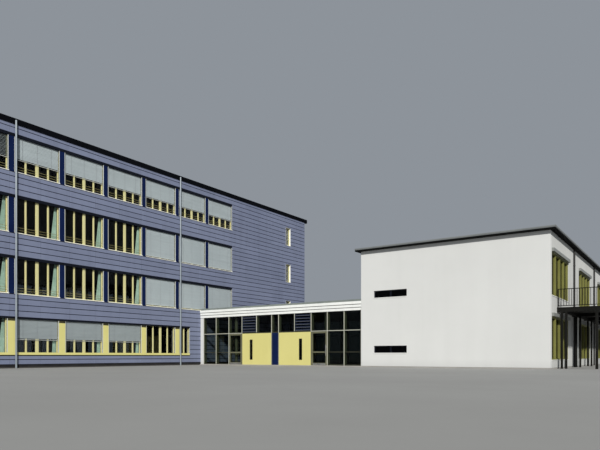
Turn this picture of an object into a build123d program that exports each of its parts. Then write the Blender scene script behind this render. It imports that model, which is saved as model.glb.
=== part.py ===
from build123d import *
import os

# School building: a four-storey classroom block, a glazed foyer and a two-storey hall.
# Millimetres. X runs to the right along the foyer's front, Y runs back from it, Z is up.
# X = 0 is the face of the block's cladding, Y = 0 the front of the foyer's fascia,
# Z = 0 the ground.

# Point of the ground that the building is placed by, under the foyer floor
origin_x = 6770
origin_y = 4800

# Storeys and walls
storey_height = 3300
slab_thickness = 250
ground_slab = 60
slab_setback = 20
wall_thickness = 300
partial_joint = 10

# Classroom block
block_storeys = 4
block_bays = 7
bay_width = 3000
block_depth = 11000
band_end = 3600
left_margin = 720
right_margin = 10250
wall_over_windows = 560
block_overhang = 350
block_roof_thickness = 220
cladding_thickness = 60
plinth_height = 200

# Windows of the block
sill_height = 740
window_height = 2040
pier_width = 320
pier_panel = 30
frame_setback = 75
frame_depth = 60
frame_width = 90
coupled_mullion = 195
glass_thickness = 24
sill_thickness = 30
sill_nose = 25
yellow_pier_width = 400
yellow_panel = 35
yellow_band = 150
yellow_band_drop = 30
short_window = 1060

# Outside blinds of the block
slat_pitch = 120
slat_lean = 24
slat_edge = 6
blind_front = 12
cassette_height = 150
cassette_depth = 60
rail_width = 40
top_blind_share = 0.66
ground_blind_share = 0.55

# Slot windows of the block
slot_width = 700
slot_height = 1600
slot_sill = 720
slot_centre = 11200
slot_frame = 60

# Rainwater pipes
pipe_diameter = 130
pipe_reach = 105
pipe_bay_offset = 190
hall_pipe_diameter = 110
hall_pipe_reach = 70
hall_pipe_offset = 1600
pipe_notch_play = 15

# Foyer
foyer_depth = 9600
end_pier = 330
side_bay = 1230
box_bay = 1310
centre_bay = 590
side_bays = 3
box_bays = 2
eaves_height = 3450
foyer_roof_thickness = 400
fascia_height = 570
fascia_steps = 3
fascia_step = 25
fascia_groove = 20
upstand_height = 700
upstand_thickness = 100
upstand_setback = 20

# Posts, rails and infill of the foyer's glazing
post_width = 60
cap_depth = 30
post_depth = 275
rail_reach = 165
transom_height = 2260
rail_height = 70
mid_rail_height = 910
mid_rail_width = 50
column_diameter = 220
column_offset = 330
column_setback = 500
infill_wall = 300
infill_slot_width = 250
infill_slot_low = 400
infill_slot_high = 1800
infill_slot_inset = 800
infill_slot_depth = 90
panel_thickness = 50
louvre_blades = 6
louvre_blade = 150
louvre_plate = 14
louvre_tilt = 35
louvre_stile = 40
louvre_depth = 140

# Doors
door_clearance = 8
door_sweep = 10
leaf_thickness = 60
leaf_stile = 95
leaf_rail = 150
leaf_mid_rail = 90
bar_diameter = 30
bar_standoff = 60
bar_length = 700
bar_inset = 48
pivot_width = 12
pivot_inset = 6
pivot_play = 0.3

# Passages from the foyer into the block and the hall
passage_start = 5200
passage_width = 2400
passage_height = 2500

# Hall
hall_width = 10760
hall_length = 19500
hall_head_wall = 1020
hall_overhang = 280
hall_roof_thickness = 160
hall_storey = 3290
front_slot_left = 860
front_slot_width = 2130
front_slot_sill = 820
front_slot_height = 450
side_window_start = 300
side_window_width = 4600
side_window_groups = 3
last_group_lights = 2
side_end_wall = 500
side_window_sill = 440
side_window_height = 2250
side_lights = 4
side_mullion = 90
blind_box_height = 170
blind_box_depth = 120

# Gallery beside the hall
gallery_start = 1600
gallery_width = 2300
gallery_level = 3210
deck_thickness = 60
beam_height = 180
beam_width = 100
gallery_spans = 4
gallery_post = 120
twin_post = 100
twin_gap = 210
twin_setback = 180
outer_post_inset = 430
railing_height = 970
railing_thickness = 20
railing_rail = 40
railing_foot = 60
baluster_width = 14
baluster_pitch = 300
railing_joint = 12

# Metal roof edges
trim_leg = 50
trim_top = 110
trim_sheet = 12

# Worked-out places of the block
block_wall_height = (block_storeys - 1) * storey_height + sill_height + window_height + wall_over_windows
band_start = band_end - block_bays * bay_width + pier_width
block_left = band_start - left_margin
block_right = band_end + right_margin
window_width = bay_width - pier_width
wall_face = -cladding_thickness
wall_inside = wall_face - wall_thickness
frame_face = wall_face - frame_setback
glass_face = frame_face - frame_depth
short_band_end = band_start + 5 * bay_width + short_window

# Worked-out places of the foyer and the hall
half_front = side_bays * side_bay + box_bays * box_bay
foyer_length = end_pier + 2 * half_front + centre_bay
foyer_centre = end_pier + half_front + centre_bay / 2
glazing_face = fascia_steps * fascia_step - fascia_step + 10
glass_line = glazing_face + cap_depth
hall_left = foyer_length
hall_right = hall_left + hall_width
hall_inside = hall_right - wall_thickness
gallery_edge = hall_right + gallery_width
passage_end = passage_start + passage_width
hall_wall_height = hall_storey + side_window_sill + side_window_height + hall_head_wall
side_light = side_window_width / side_lights
short_group_width = last_group_lights * side_light
side_window_room = hall_length - side_window_start - short_group_width - side_end_wall
side_window_pitch = side_window_room / (side_window_groups - 1)

nodes = {}


def rect(u0, u1, v0, v1):
    """Rectangle given by its edges."""
    return Pos((u0 + u1) / 2, (v0 + v1) / 2) * Rectangle(u1 - u0, v1 - v0)


def along_x(outline, x0, x1):
    """Outline drawn in Y and Z, run from x0 to x1."""
    return extrude(Plane.YZ.offset(x0) * outline, x1 - x0)


def along_y(outline, y0, y1):
    """Outline drawn in X and Z, run from y0 to y1."""
    return extrude(Plane.XZ.offset(-y0) * outline, y0 - y1)


def along_z(outline, z0, z1):
    """Outline drawn in X and Y, run from z0 to z1."""
    return extrude(Plane.XY.offset(z0) * outline, z1 - z0)


def to_rear(pieces):
    """The same pieces on the block's other long side."""
    middle = Plane.YZ.offset(-block_depth / 2)
    return [mirror(piece, about=middle) for piece in pieces]


def keep(name, pieces):
    """Puts the pieces of one node in place about the building's origin."""
    moved = [Pos(-origin_x, -origin_y, 0) * piece for piece in pieces]
    solids = [solid for piece in moved for solid in piece.solids()]
    nodes[name] = Compound(children=solids)


def bay_start(bay):
    """Left edge of a window of the block."""
    return band_start + bay * bay_width


def window_cell(bay, storey):
    """Edges of one full window of the block, in Y and Z."""
    low = storey * storey_height + sill_height
    left = bay_start(bay)
    return left, left + window_width, low, low + window_height


def ground_cell(bay):
    """Edges of one ground-floor window, between the wider yellow piers."""
    left, right, low, high = window_cell(bay, 0)
    step = (yellow_pier_width - pier_width) / 2
    left = left if bay == 0 else left + step
    right = short_band_end if bay == 5 else right - step
    return left, right, low, high


def front_cells():
    """All windows of the block's front, storey by storey."""
    ground = [ground_cell(bay) for bay in range(6)]
    upper = [window_cell(bay, storey) for storey in range(1, block_storeys) for bay in range(block_bays)]
    return ground + upper


def rear_cells():
    """All windows of the block's rear."""
    return [window_cell(bay, storey) for storey in range(block_storeys) for bay in range(block_bays)]


def slot_cells():
    """The three slot windows near the block's right end."""
    left = slot_centre - slot_width / 2
    lows = [storey * storey_height + slot_sill for storey in range(1, block_storeys)]
    return [(left, left + slot_width, low, low + slot_height) for low in lows]


def pierced(outline, cells):
    """Outline with a rectangular hole for each cell."""
    for cell in cells:
        outline -= rect(*cell)
    return outline


# Classroom block: base, floors and roof


def block_base():
    """Ground slab, set back a little behind the cladding."""
    s = slab_setback
    return [along_z(rect(-block_depth + s, -s, block_left + s, block_right - s), 0, ground_slab)]


def block_plinth():
    """Rendered strips along the foot of the walls, outside the foyer."""
    s = slab_setback
    c = cladding_thickness
    spans = [(block_left + s, 0), (foyer_depth, block_right - s)]
    front = [along_z(rect(-c, -s, y0, y1), ground_slab, plinth_height) for y0, y1 in spans]
    rear = along_z(rect(-block_depth + s, -block_depth + c, block_left + s, block_right - s),
                   ground_slab, plinth_height)
    x0, x1 = -block_depth + c + partial_joint, -c - partial_joint
    left = along_z(rect(x0, x1, block_left + s, block_left + c), ground_slab, plinth_height)
    right = along_z(rect(x0, x1, block_right - c, block_right - s), ground_slab, plinth_height)
    return front + [rear, left, right]


def block_floors():
    """Concrete floors between the storeys."""
    inset = cladding_thickness + wall_thickness
    plate = rect(-block_depth + inset, -inset, block_left + inset, block_right - inset)
    tops = [storey * storey_height for storey in range(1, block_storeys)]
    return [along_z(plate, top - slab_thickness, top) for top in tops]


def block_roof():
    """Flat roof plate that reaches past the walls on all sides."""
    o = block_overhang
    plate = rect(-block_depth - o, o, block_left - o, block_right + o)
    return [along_z(plate, block_wall_height, block_wall_height + block_roof_thickness)]


def edge_trim(x0, x1, y0, y1, top):
    """Folded metal edge on top of a roof plate, one length for each side."""
    low = top - trim_leg
    angle = rect(-trim_sheet, 0, low, top + trim_sheet) + rect(-trim_sheet, trim_top, top, top + trim_sheet)
    inner = trim_top + partial_joint
    front = along_x(Pos(y0, 0) * angle, x0 - trim_sheet, x1 + trim_sheet)
    rear = mirror(front, about=Plane.XZ.offset(-(y0 + y1) / 2))
    left = along_y(Pos(x0, 0) * angle, y0 + inner, y1 - inner)
    right = mirror(left, about=Plane.YZ.offset((x0 + x1) / 2))
    return [front, rear, left, right]


def block_roof_edge():
    """Metal edge of the block's roof."""
    o = block_overhang
    top = block_wall_height + block_roof_thickness
    return edge_trim(-block_depth - o, o, block_left - o, block_right + o, top)


# Classroom block: walls and cladding


def front_wall_part(y0, y1, z0, cells):
    """Stretch of the front wall with its windows cut through."""
    outline = pierced(rect(y0, y1, z0, block_wall_height), cells)
    return along_x(outline, wall_inside, wall_face)


def block_front_wall():
    """Front wall from the left end to the passage, with every window row."""
    return [front_wall_part(block_left + cladding_thickness, passage_start, ground_slab, front_cells())]


def block_wall_over_passage():
    """Front wall above the passage into the foyer."""
    return [front_wall_part(passage_start, passage_end, passage_height, [])]


def block_front_wall_end():
    """Front wall from the passage to the right end, with the slot windows."""
    return [front_wall_part(passage_end, block_right - cladding_thickness, ground_slab, slot_cells())]


def block_rear_wall():
    """Rear wall with its window rows."""
    c = cladding_thickness
    outline = pierced(rect(block_left + c, block_right - c, ground_slab, block_wall_height), rear_cells())
    return to_rear([along_x(outline, wall_inside, wall_face)])


def block_end_wall(y0):
    """Plain end wall between the front and rear walls."""
    inset = cladding_thickness + wall_thickness
    plate = rect(-block_depth + inset, -inset, ground_slab, block_wall_height)
    return [along_y(plate, y0, y0 + wall_thickness)]


def band_cell(storey):
    """Recess in the cladding along the window row of one upper storey."""
    low = storey * storey_height + sill_height
    return band_start, band_end, low, low + window_height


def ground_band():
    """Recess in the front cladding along the ground-floor windows."""
    return band_start, short_band_end, sill_height - yellow_band_drop, sill_height + window_height


def passage_cell():
    """Doorway through the front wall, in Y and Z."""
    return passage_start, passage_end, ground_slab, passage_height


def block_cladding():
    """Sheets of cladding on the four sides, open along the window rows."""
    sheet = rect(block_left, block_right, plinth_height, block_wall_height)
    foot = rect(passage_start, passage_end, plinth_height, passage_height)
    bands = [band_cell(storey) for storey in range(1, block_storeys)]
    front = along_x(pierced(sheet, bands + [ground_band()] + slot_cells()) - foot, wall_face, 0)
    rear_bands = [band_cell(storey) for storey in range(block_storeys)]
    rear = to_rear([along_x(pierced(sheet, rear_bands), wall_face, 0)])
    x0 = -block_depth + cladding_thickness + partial_joint
    x1 = -cladding_thickness - partial_joint
    end = rect(x0, x1, plinth_height, block_wall_height)
    left = along_y(end, block_left, block_left + cladding_thickness)
    right = along_y(end, block_right - cladding_thickness, block_right)
    return [front] + rear + [left, right]


def pier_sheets(first, last, cell):
    """Pier panels between neighbouring windows of one row."""
    low, high = cell[2], cell[3]
    sheets = []
    for bay in range(first, last):
        left = bay_start(bay) - pier_width
        sheets.append(along_x(rect(left, left + pier_width, low, high), wall_face, wall_face + pier_panel))
    return sheets


def block_navy_piers():
    """Dark panels between the windows of the upper rows, and of all rear rows."""
    front = [p for storey in range(1, block_storeys) for p in pier_sheets(1, block_bays, band_cell(storey))]
    rear = [p for storey in range(block_storeys) for p in pier_sheets(1, block_bays, band_cell(storey))]
    return front + to_rear(rear)


def block_yellow_piers():
    """Yellow comb of the ground floor: a band under the windows and a pier between each two."""
    left, right, low, high = ground_band()
    comb = rect(left, right, low, low + yellow_band)
    for bay in range(1, 6):
        centre = bay_start(bay) - pier_width / 2
        comb += rect(centre - yellow_pier_width / 2, centre + yellow_pier_width / 2, low, high)
    return [along_x(comb, wall_face, wall_face + yellow_panel)]


# Classroom block: windows


def window_frame(cell):
    """Painted frame of one window, with the broad upright where its two casement pairs are coupled."""
    left, right, low, high = cell
    light = (right - left - 2 * frame_width - coupled_mullion) / 2
    outline = rect(*cell)
    for start in (left + frame_width, right - frame_width - light):
        outline -= rect(start, start + light, low + frame_width, high - frame_width)
    return along_x(outline, glass_face, frame_face)


def slot_window_frame(cell):
    """Frame of one slot window, as deep as the reveal."""
    left, right, low, high = cell
    f = slot_frame
    outline = rect(*cell) - rect(left + f, right - f, low + f, high - f)
    return along_x(outline, glass_face, wall_face)


def block_windows():
    """All window frames of the block."""
    front = [window_frame(cell) for cell in front_cells()]
    slots = [slot_window_frame(cell) for cell in slot_cells()]
    return front + slots + to_rear([window_frame(cell) for cell in rear_cells()])


def pane(cell):
    """Pane behind one frame."""
    return along_x(rect(*cell), glass_face - glass_thickness, glass_face)


def block_glass():
    """Panes of the block's windows, one behind each frame."""
    front = [pane(cell) for cell in front_cells() + slot_cells()]
    return front + to_rear([pane(cell) for cell in rear_cells()])


def window_sill(cell):
    """Pressed metal sill that falls to a nose in front of the cladding."""
    left, right, low, high = cell
    board = [(frame_face, low), (sill_nose, low), (sill_nose, low + sill_thickness / 2),
             (frame_face, low + sill_thickness)]
    return along_y(make_face(Polyline(*board, close=True)), left, right)


def block_window_sills():
    """Sills under the windows, none on the yellow band of the ground floor."""
    front = [window_sill(cell) for cell in front_cells()[6:]]
    return front + to_rear([window_sill(cell) for cell in rear_cells()])


# Classroom block: outside blinds


def blind_cassette(cell):
    """Head box of a blind with its two guide rails, as one frame open at the foot."""
    left, right, low, high = cell
    foot = low + sill_thickness
    outline = rect(left, right, foot, high)
    outline -= rect(left + rail_width, right - rail_width, foot, high - cassette_height)
    return along_x(outline, frame_face, frame_face + cassette_depth)


def block_blind_cassettes():
    """Blind boxes and rails in front of the windows of the block's front."""
    return [blind_cassette(cell) for cell in front_cells()]


def blind(cell, share):
    """Lowered blind of leaning slats, down by a share of the window's height."""
    left, right, low, high = cell
    top = high - cassette_height
    slats = int((share * window_height - cassette_height) / slat_pitch)
    x0 = frame_face + blind_front
    edge = [(x0, top), (x0 + slat_edge, top)]
    for slat in range(slats):
        foot = top - (slat + 1) * slat_pitch
        edge.append((x0 + slat_lean, foot + slat_edge))
        edge.append((x0 + slat_edge, foot))
    edge.append((x0, edge[-1][1]))
    outline = make_face(Polyline(*edge, close=True))
    gap = rail_width + railing_joint / 2
    return along_y(outline, left + gap, right - gap)


def block_blinds():
    """Blinds that are down: the top row part way, right-hand bays fully, some on the ground."""
    top_row = [blind(window_cell(bay, 3), top_blind_share) for bay in range(block_bays)]
    full = 1 - sill_thickness / window_height
    closed = [blind(window_cell(bay, storey), full) for storey in (1, 2) for bay in (4, 5, 6)]
    ground = [blind(ground_cell(bay), ground_blind_share) for bay in (1, 2, 3)]
    return top_row + closed + ground


# Rainwater pipes


def rain_pipe(x, y, diameter, top):
    """Round pipe from the ground to the underside of a roof."""
    return along_z(Pos(x, y) * Circle(diameter / 2), 0, top)


def block_pipes():
    """Two pipes down the block's front, each on the right edge of a pier."""
    places = [bay_start(bay) - pier_width / 2 + pipe_bay_offset for bay in (1, 5)]
    return [rain_pipe(pipe_reach, y, pipe_diameter, block_wall_height) for y in places]


# Foyer: floor, roof and fascia


def foyer_floor():
    """Floor slab between the block and the hall."""
    s = slab_setback
    return [along_z(rect(-s, hall_left + s, 0, foyer_depth), 0, ground_slab)]


def foyer_roof():
    """Flat roof slab behind the fascias."""
    inset = glazing_face
    plate = rect(0, foyer_length, inset, foyer_depth - inset)
    return [along_z(plate, eaves_height, eaves_height + foyer_roof_thickness)]


def both_fronts(piece):
    """A piece of the foyer's front and its like at the rear."""
    return [piece, mirror(piece, about=Plane.XZ.offset(-foyer_depth / 2))]


def foyer_fascia():
    """White fascia of three boards, each set back under the one above."""
    board = fascia_height / fascia_steps
    backing = glazing_face - fascia_groove / 2
    outline = rect(backing, glazing_face, eaves_height, eaves_height + fascia_height)
    for step in range(fascia_steps):
        low = eaves_height + step * board
        face = (fascia_steps - 1 - step) * fascia_step
        outline += rect(face, glazing_face, low + fascia_groove, low + board)
    return both_fronts(along_x(outline, 0, foyer_length))


def foyer_roof_upstands():
    """Low metal upstands along the roof's front and rear."""
    y0 = glazing_face + upstand_setback
    low = eaves_height + foyer_roof_thickness
    outline = rect(y0, y0 + upstand_thickness, low, eaves_height + upstand_height)
    return both_fronts(along_x(outline, sill_nose + partial_joint, foyer_length))


def foyer_end_piers():
    """White wall ends beside the block."""
    outline = rect(0, end_pier - post_width / 2, ground_slab, eaves_height)
    return both_fronts(along_y(outline, glazing_face, glazing_face + wall_thickness))


# Foyer: posts, rails and glass


def post_places():
    """Centre lines of the posts, from the block to the hall."""
    half = [0] + [side_bay * n for n in range(1, side_bays + 1)]
    half += [half[-1] + box_bay * n for n in range(1, box_bays + 1)]
    left = [end_pier + place for place in half]
    right = [foyer_length - place for place in reversed(half)]
    right[-1] -= post_width / 2
    return left + right


def bays():
    """Clear spans between neighbouring posts, as left and right edges."""
    places = post_places()
    half = post_width / 2
    return [(a + half, b - half) for a, b in zip(places, places[1:])]


def post(place, low):
    """One post from a height up to the roof, its front a cap outside the panes."""
    half = post_width / 2
    section = rect(place - half, place + half, glazing_face, glazing_face + post_depth)
    return along_z(section, low, eaves_height)


def foyer_posts():
    """Posts of the front and of the rear; those over the yellow walls stand on the transom."""
    short = (side_bays + 1, side_bays + 2 * box_bays)
    sit = transom_height + rail_height / 2
    front = [post(x, sit if n in short else ground_slab) for n, x in enumerate(post_places())]
    rear = [both_fronts(post(x, ground_slab))[1] for x in post_places()]
    return front + rear


def rail(span, level, height):
    """Glazing rail between two posts, flush with their caps."""
    section = rect(glazing_face, glazing_face + rail_reach, level - height / 2, level + height / 2)
    return along_x(section, *span)


def is_side(n):
    """Whether a bay is one of the fully glazed ones at either end."""
    return n < side_bays or n >= side_bays + 2 * box_bays + 1


def is_door(n):
    """Whether a bay of the front holds a door: the glazed bays next to the yellow walls."""
    return n in (side_bays - 1, side_bays + 2 * box_bays + 1)


def merged_spans():
    """Spans of the transom: one for each bay, but one over each yellow wall."""
    spans = bays()
    first, last = side_bays, side_bays + box_bays + 1
    merged = []
    for n, span in enumerate(spans):
        if n in (first, last):
            merged.append((span[0], spans[n + box_bays - 1][1]))
        elif n not in (first + 1, last + 1):
            merged.append(span)
    return merged


def foyer_rails():
    """Transom of front and rear, with bottom and middle rails in the fixed side bays."""
    front = [rail(span, transom_height, rail_height) for span in merged_spans()]
    rear = [both_fronts(rail(span, transom_height, rail_height))[1] for span in bays()]
    foot = ground_slab + rail_height / 2
    for n, span in enumerate(bays()):
        rear.append(both_fronts(rail(span, foot, rail_height))[1])
        if is_side(n) and not is_door(n):
            front.append(rail(span, foot, rail_height))
            front.append(rail(span, mid_rail_height, mid_rail_width))
    return front + rear


def foyer_pane(span, low, high):
    """Pane between two posts."""
    return along_y(rect(*span, low, high), glass_line, glass_line + glass_thickness)


def is_louvred(n):
    """Whether the upper light of a bay holds louvres."""
    return n in (side_bays, side_bays + 2 * box_bays)


def foyer_glass():
    """Fixed panes of the foyer, front and rear, and one in each slot of the yellow walls."""
    foot = ground_slab + rail_height
    head = transom_height - rail_height / 2
    upper = (transom_height + rail_height / 2, eaves_height)
    middle = mid_rail_width / 2
    panes = []
    for n, span in enumerate(bays()):
        if not is_louvred(n):
            panes.append(foyer_pane(span, *upper))
        if is_side(n) and not is_door(n):
            panes.append(foyer_pane(span, foot, mid_rail_height - middle))
            panes.append(foyer_pane(span, mid_rail_height + middle, head))
        panes.append(both_fronts(foyer_pane(span, *upper))[1])
        panes.append(both_fronts(foyer_pane(span, foot, head))[1])
    deep = glazing_face + infill_slot_depth
    for slot in infill_slots():
        outline = rect(*slot, infill_slot_low, infill_slot_high)
        panes.append(along_y(outline, deep, deep + glass_thickness))
    return panes


def louvre(span):
    """One louvred light: two stiles and a row of leaning blades."""
    low, high = transom_height + rail_height / 2, eaves_height
    frame = rect(*span, low, high) - rect(span[0] + louvre_stile, span[1] - louvre_stile, low, high)
    light = along_y(frame, glazing_face, glazing_face + louvre_depth)
    pitch = (high - low) / louvre_blades
    blade = Rot(0, 0, louvre_tilt) * Rectangle(louvre_blade, louvre_plate)
    for n in range(louvre_blades):
        place = Pos(glazing_face + louvre_depth / 2, low + (n + 0.5) * pitch)
        light += along_x(place * blade, span[0] + louvre_stile, span[1] - louvre_stile)
    return light


def foyer_louvres():
    """The two louvred lights over the outer halves of the yellow walls."""
    return [louvre(span) for n, span in enumerate(bays()) if is_louvred(n)]


# Foyer: yellow walls, navy panel and columns


def infill_spans():
    """Left and right edges of the two yellow walls."""
    spans = bays()
    last = side_bays + box_bays + 1
    return [(spans[side_bays][0], spans[side_bays + box_bays - 1][1]), (spans[last][0], spans[last + 1][1])]


def infill_slots():
    """Edges of the upright slot in each yellow wall, the same distance from its outer end."""
    half = infill_slot_width / 2
    (a, b), (c, d) = infill_spans()
    centres = (a + infill_slot_inset, d - infill_slot_inset)
    return [(centre - half, centre + half) for centre in centres]


def foyer_yellow_walls():
    """Yellow walls under the transom, each with its slot cut through."""
    walls = []
    for span, slot in zip(infill_spans(), infill_slots()):
        outline = rect(*span, ground_slab, transom_height - rail_height / 2)
        outline -= rect(*slot, infill_slot_low, infill_slot_high)
        walls.append(along_y(outline, glazing_face, glazing_face + infill_wall))
    return walls


def foyer_navy_panel():
    """Dark panel in the narrow middle bay."""
    span = bays()[side_bays + box_bays]
    outline = rect(*span, ground_slab, transom_height - rail_height / 2)
    return [along_y(outline, glazing_face, glazing_face + panel_thickness)]


def foyer_columns():
    """Round steel columns behind the front, one near each door."""
    places = post_places()
    left = places[side_bays - 1] + column_offset
    right = places[-side_bays] - column_offset
    disc = Circle(column_diameter / 2)
    return [along_z(Pos(x, column_setback) * disc, ground_slab, eaves_height) for x in (left, right)]


# Foyer: doors


def door_span(side):
    """Edges of a door leaf in its bay, clear of the posts."""
    n = side_bays - 1 if side == "left" else side_bays + 2 * box_bays + 1
    left, right = bays()[n]
    return left + door_clearance, right - door_clearance


def leaf_heights():
    """Bottom and top of a door leaf."""
    return ground_slab + door_sweep, transom_height - rail_height / 2 - door_clearance


def door_lights(side):
    """The two glazed fields of a leaf, in X and Z."""
    left, right = door_span(side)
    low, high = leaf_heights()
    left, right = left + leaf_stile, right - leaf_stile
    middle = leaf_mid_rail / 2
    return [(left, right, low + leaf_rail, mid_rail_height - middle),
            (left, right, mid_rail_height + middle, high - leaf_stile)]


def pivot_place(side):
    """Axis of a leaf's pivots, at the corner next to the yellow wall."""
    left, right = door_span(side)
    return (right - pivot_inset if side == "left" else left + pivot_inset), glazing_face + pivot_inset


def door_leaf(side):
    """Leaf frame with a rail at hand height, on a pivot at its foot and one at its head."""
    left, right = door_span(side)
    low, high = leaf_heights()
    leaf = along_y(pierced(rect(left, right, low, high), door_lights(side)),
                   glazing_face, glazing_face + leaf_thickness)
    pin = Pos(*pivot_place(side)) * Rectangle(pivot_width, pivot_width)
    leaf += along_z(pin, ground_slab + pivot_play, low)
    leaf += along_z(pin, high, transom_height - rail_height / 2 - pivot_play)
    return [leaf]


def door_bar(side):
    """Round pull bar outside the leaf, on two short standoffs."""
    left, right = door_span(side)
    x = left + bar_inset if side == "left" else right - bar_inset
    low = mid_rail_height - bar_length / 3
    y = glazing_face - bar_standoff
    bar = along_z(Pos(x, y) * Circle(bar_diameter / 2), low, low + bar_length)
    for level in (low + bar_diameter * 2, low + bar_length - bar_diameter * 2):
        bar += along_y(Pos(x, level) * Rectangle(bar_diameter / 2, bar_diameter / 2), y, glazing_face)
    return [bar]


def door_glass(side):
    """Two panes in the middle of the leaf's thickness."""
    middle = glazing_face + leaf_thickness / 2
    half = glass_thickness / 2
    return [along_y(rect(*light), middle - half, middle + half) for light in door_lights(side)]


# Hall: base, floor, roof and walls


def hall_base():
    """Ground slab of the hall."""
    s = slab_setback
    return [along_z(rect(hall_left + s, hall_right - s, s, hall_length - s), 0, ground_slab)]


def hall_floor():
    """Upper floor of the hall."""
    t = wall_thickness
    plate = rect(hall_left + t, hall_right - t, t, hall_length - t)
    return [along_z(plate, hall_storey - slab_thickness, hall_storey)]


def hall_roof():
    """Thin flat roof plate with a small overhang."""
    o = hall_overhang
    plate = rect(hall_left - o, hall_right + o, -o, hall_length + o)
    return [along_z(plate, hall_wall_height, hall_wall_height + hall_roof_thickness)]


def hall_roof_edge():
    """Metal edge of the hall's roof."""
    o = hall_overhang
    top = hall_wall_height + hall_roof_thickness
    return edge_trim(hall_left - o, hall_right + o, -o, hall_length + o, top)


def hall_levels(sill):
    """Height of a sill on both storeys of the hall."""
    return [sill + storey * hall_storey for storey in range(2)]


def hall_slot_cells():
    """Long low windows of the hall's front, in X and Z."""
    left = hall_left + front_slot_left
    return [(left, left + front_slot_width, low, low + front_slot_height)
            for low in hall_levels(front_slot_sill)]


def side_groups():
    """Start and width of each window group along the hall; the last is shorter."""
    widths = [side_window_width] * (side_window_groups - 1) + [short_group_width]
    return [(side_window_start + n * side_window_pitch, width) for n, width in enumerate(widths)]


def hall_side_cells(first):
    """Windows of the hall's long sides from a given group on, in Y and Z."""
    levels = hall_levels(side_window_sill)
    return [(start, start + width, low, low + side_window_height)
            for start, width in side_groups()[first:] for low in levels]


def hall_end_wall(y0):
    """Front or rear wall of the hall with its slot windows."""
    outline = pierced(rect(hall_left, hall_right, ground_slab, hall_wall_height), hall_slot_cells())
    return [along_y(outline, y0, y0 + wall_thickness)]


def hall_right_wall():
    """Wall beside the gallery."""
    t = wall_thickness
    outline = pierced(rect(t, hall_length - t, ground_slab, hall_wall_height), hall_side_cells(0))
    return [along_x(outline, hall_inside, hall_right)]


def hall_left_part(y0, y1, z0, cells):
    """Stretch of the wall towards the foyer."""
    outline = pierced(rect(y0, y1, z0, hall_wall_height), cells)
    return [along_x(outline, hall_left, hall_left + wall_thickness)]


# Hall: windows


def side_frame(cell, x0, x1):
    """Frame of one side window with an upright bar between each two lights."""
    left, right, low, high = cell
    lights = round((right - left) / side_light)
    light = (right - left - 2 * frame_width - (lights - 1) * side_mullion) / lights
    outline = rect(*cell)
    for n in range(lights):
        edge = left + frame_width + n * (light + side_mullion)
        outline -= rect(edge, edge + light, low + frame_width, high - frame_width)
    return along_x(outline, x0, x1)


def slot_frame_y(cell, y0, y1):
    """Plain frame of one slot window in the front or rear wall."""
    left, right, low, high = cell
    f = slot_frame
    return along_y(rect(*cell) - rect(left + f, right - f, low + f, high - f), y0, y1)


def hall_windows():
    """All window frames of the hall."""
    d, back = frame_setback, frame_setback + frame_depth
    right = [side_frame(cell, hall_right - back, hall_right - d) for cell in hall_side_cells(0)]
    left = [side_frame(cell, hall_left + d, hall_left + back) for cell in hall_side_cells(2)]
    front = [slot_frame_y(cell, d, back) for cell in hall_slot_cells()]
    rear = [slot_frame_y(cell, hall_length - back, hall_length - d) for cell in hall_slot_cells()]
    return right + left + front + rear


def hall_glass():
    """Panes behind the hall's frames."""
    back = frame_setback + frame_depth
    deep = back + glass_thickness
    right = [along_x(rect(*cell), hall_right - deep, hall_right - back) for cell in hall_side_cells(0)]
    left = [along_x(rect(*cell), hall_left + back, hall_left + deep) for cell in hall_side_cells(2)]
    front = [along_y(rect(*cell), back, deep) for cell in hall_slot_cells()]
    rear = [along_y(rect(*cell), hall_length - deep, hall_length - back) for cell in hall_slot_cells()]
    return right + left + front + rear


def hall_blind_boxes():
    """Boxes of the outside blinds over the hall's side windows."""
    boxes = []
    for left, right, low, high in hall_side_cells(0):
        boxes.append(along_x(rect(left, right, high, high + blind_box_height),
                             hall_right, hall_right + blind_box_depth))
    return boxes


def hall_sills():
    """Sills under the hall's windows."""
    t, n = sill_thickness, sill_nose
    sills = []
    for left, right, low, high in hall_side_cells(0):
        sills.append(along_x(rect(left, right, low, low + t), hall_right - frame_setback, hall_right + n))
    for left, right, low, high in hall_side_cells(2):
        sills.append(along_x(rect(left, right, low, low + t), hall_left - n, hall_left + frame_setback))
    for left, right, low, high in hall_slot_cells():
        sills.append(along_y(rect(left, right, low, low + t), -n, frame_setback))
        sills.append(along_y(rect(left, right, low, low + t), hall_length - frame_setback, hall_length + n))
    return sills


def hall_pipe_places():
    """Where the pipes run down the wall, between each two window groups."""
    return [start + width + hall_pipe_offset for start, width in side_groups()[:-1]]


def hall_pipes():
    """Dark pipes down the wall between the window groups, through notches in the gallery's deck."""
    x = hall_right + hall_pipe_reach
    return [rain_pipe(x, y, hall_pipe_diameter, hall_wall_height) for y in hall_pipe_places()]


# Gallery


def span_places():
    """Lines of the gallery's posts along the hall."""
    length = hall_length - gallery_start - gallery_post
    return [gallery_start + gallery_post / 2 + n * length / gallery_spans for n in range(gallery_spans + 1)]


def pipe_notches():
    """Cut-outs in the deck where the pipes pass."""
    side = hall_pipe_reach + hall_pipe_diameter / 2 + pipe_notch_play
    return [rect(hall_right, hall_right + side, y - side / 2, y + side / 2) for y in hall_pipe_places()]


def gallery_deck():
    """Walkway plate beside the hall, notched for the pipes."""
    plate = rect(hall_right, gallery_edge, gallery_start, hall_length)
    for notch in pipe_notches():
        plate -= notch
    return [along_z(plate, gallery_level - deck_thickness, gallery_level)]


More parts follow.
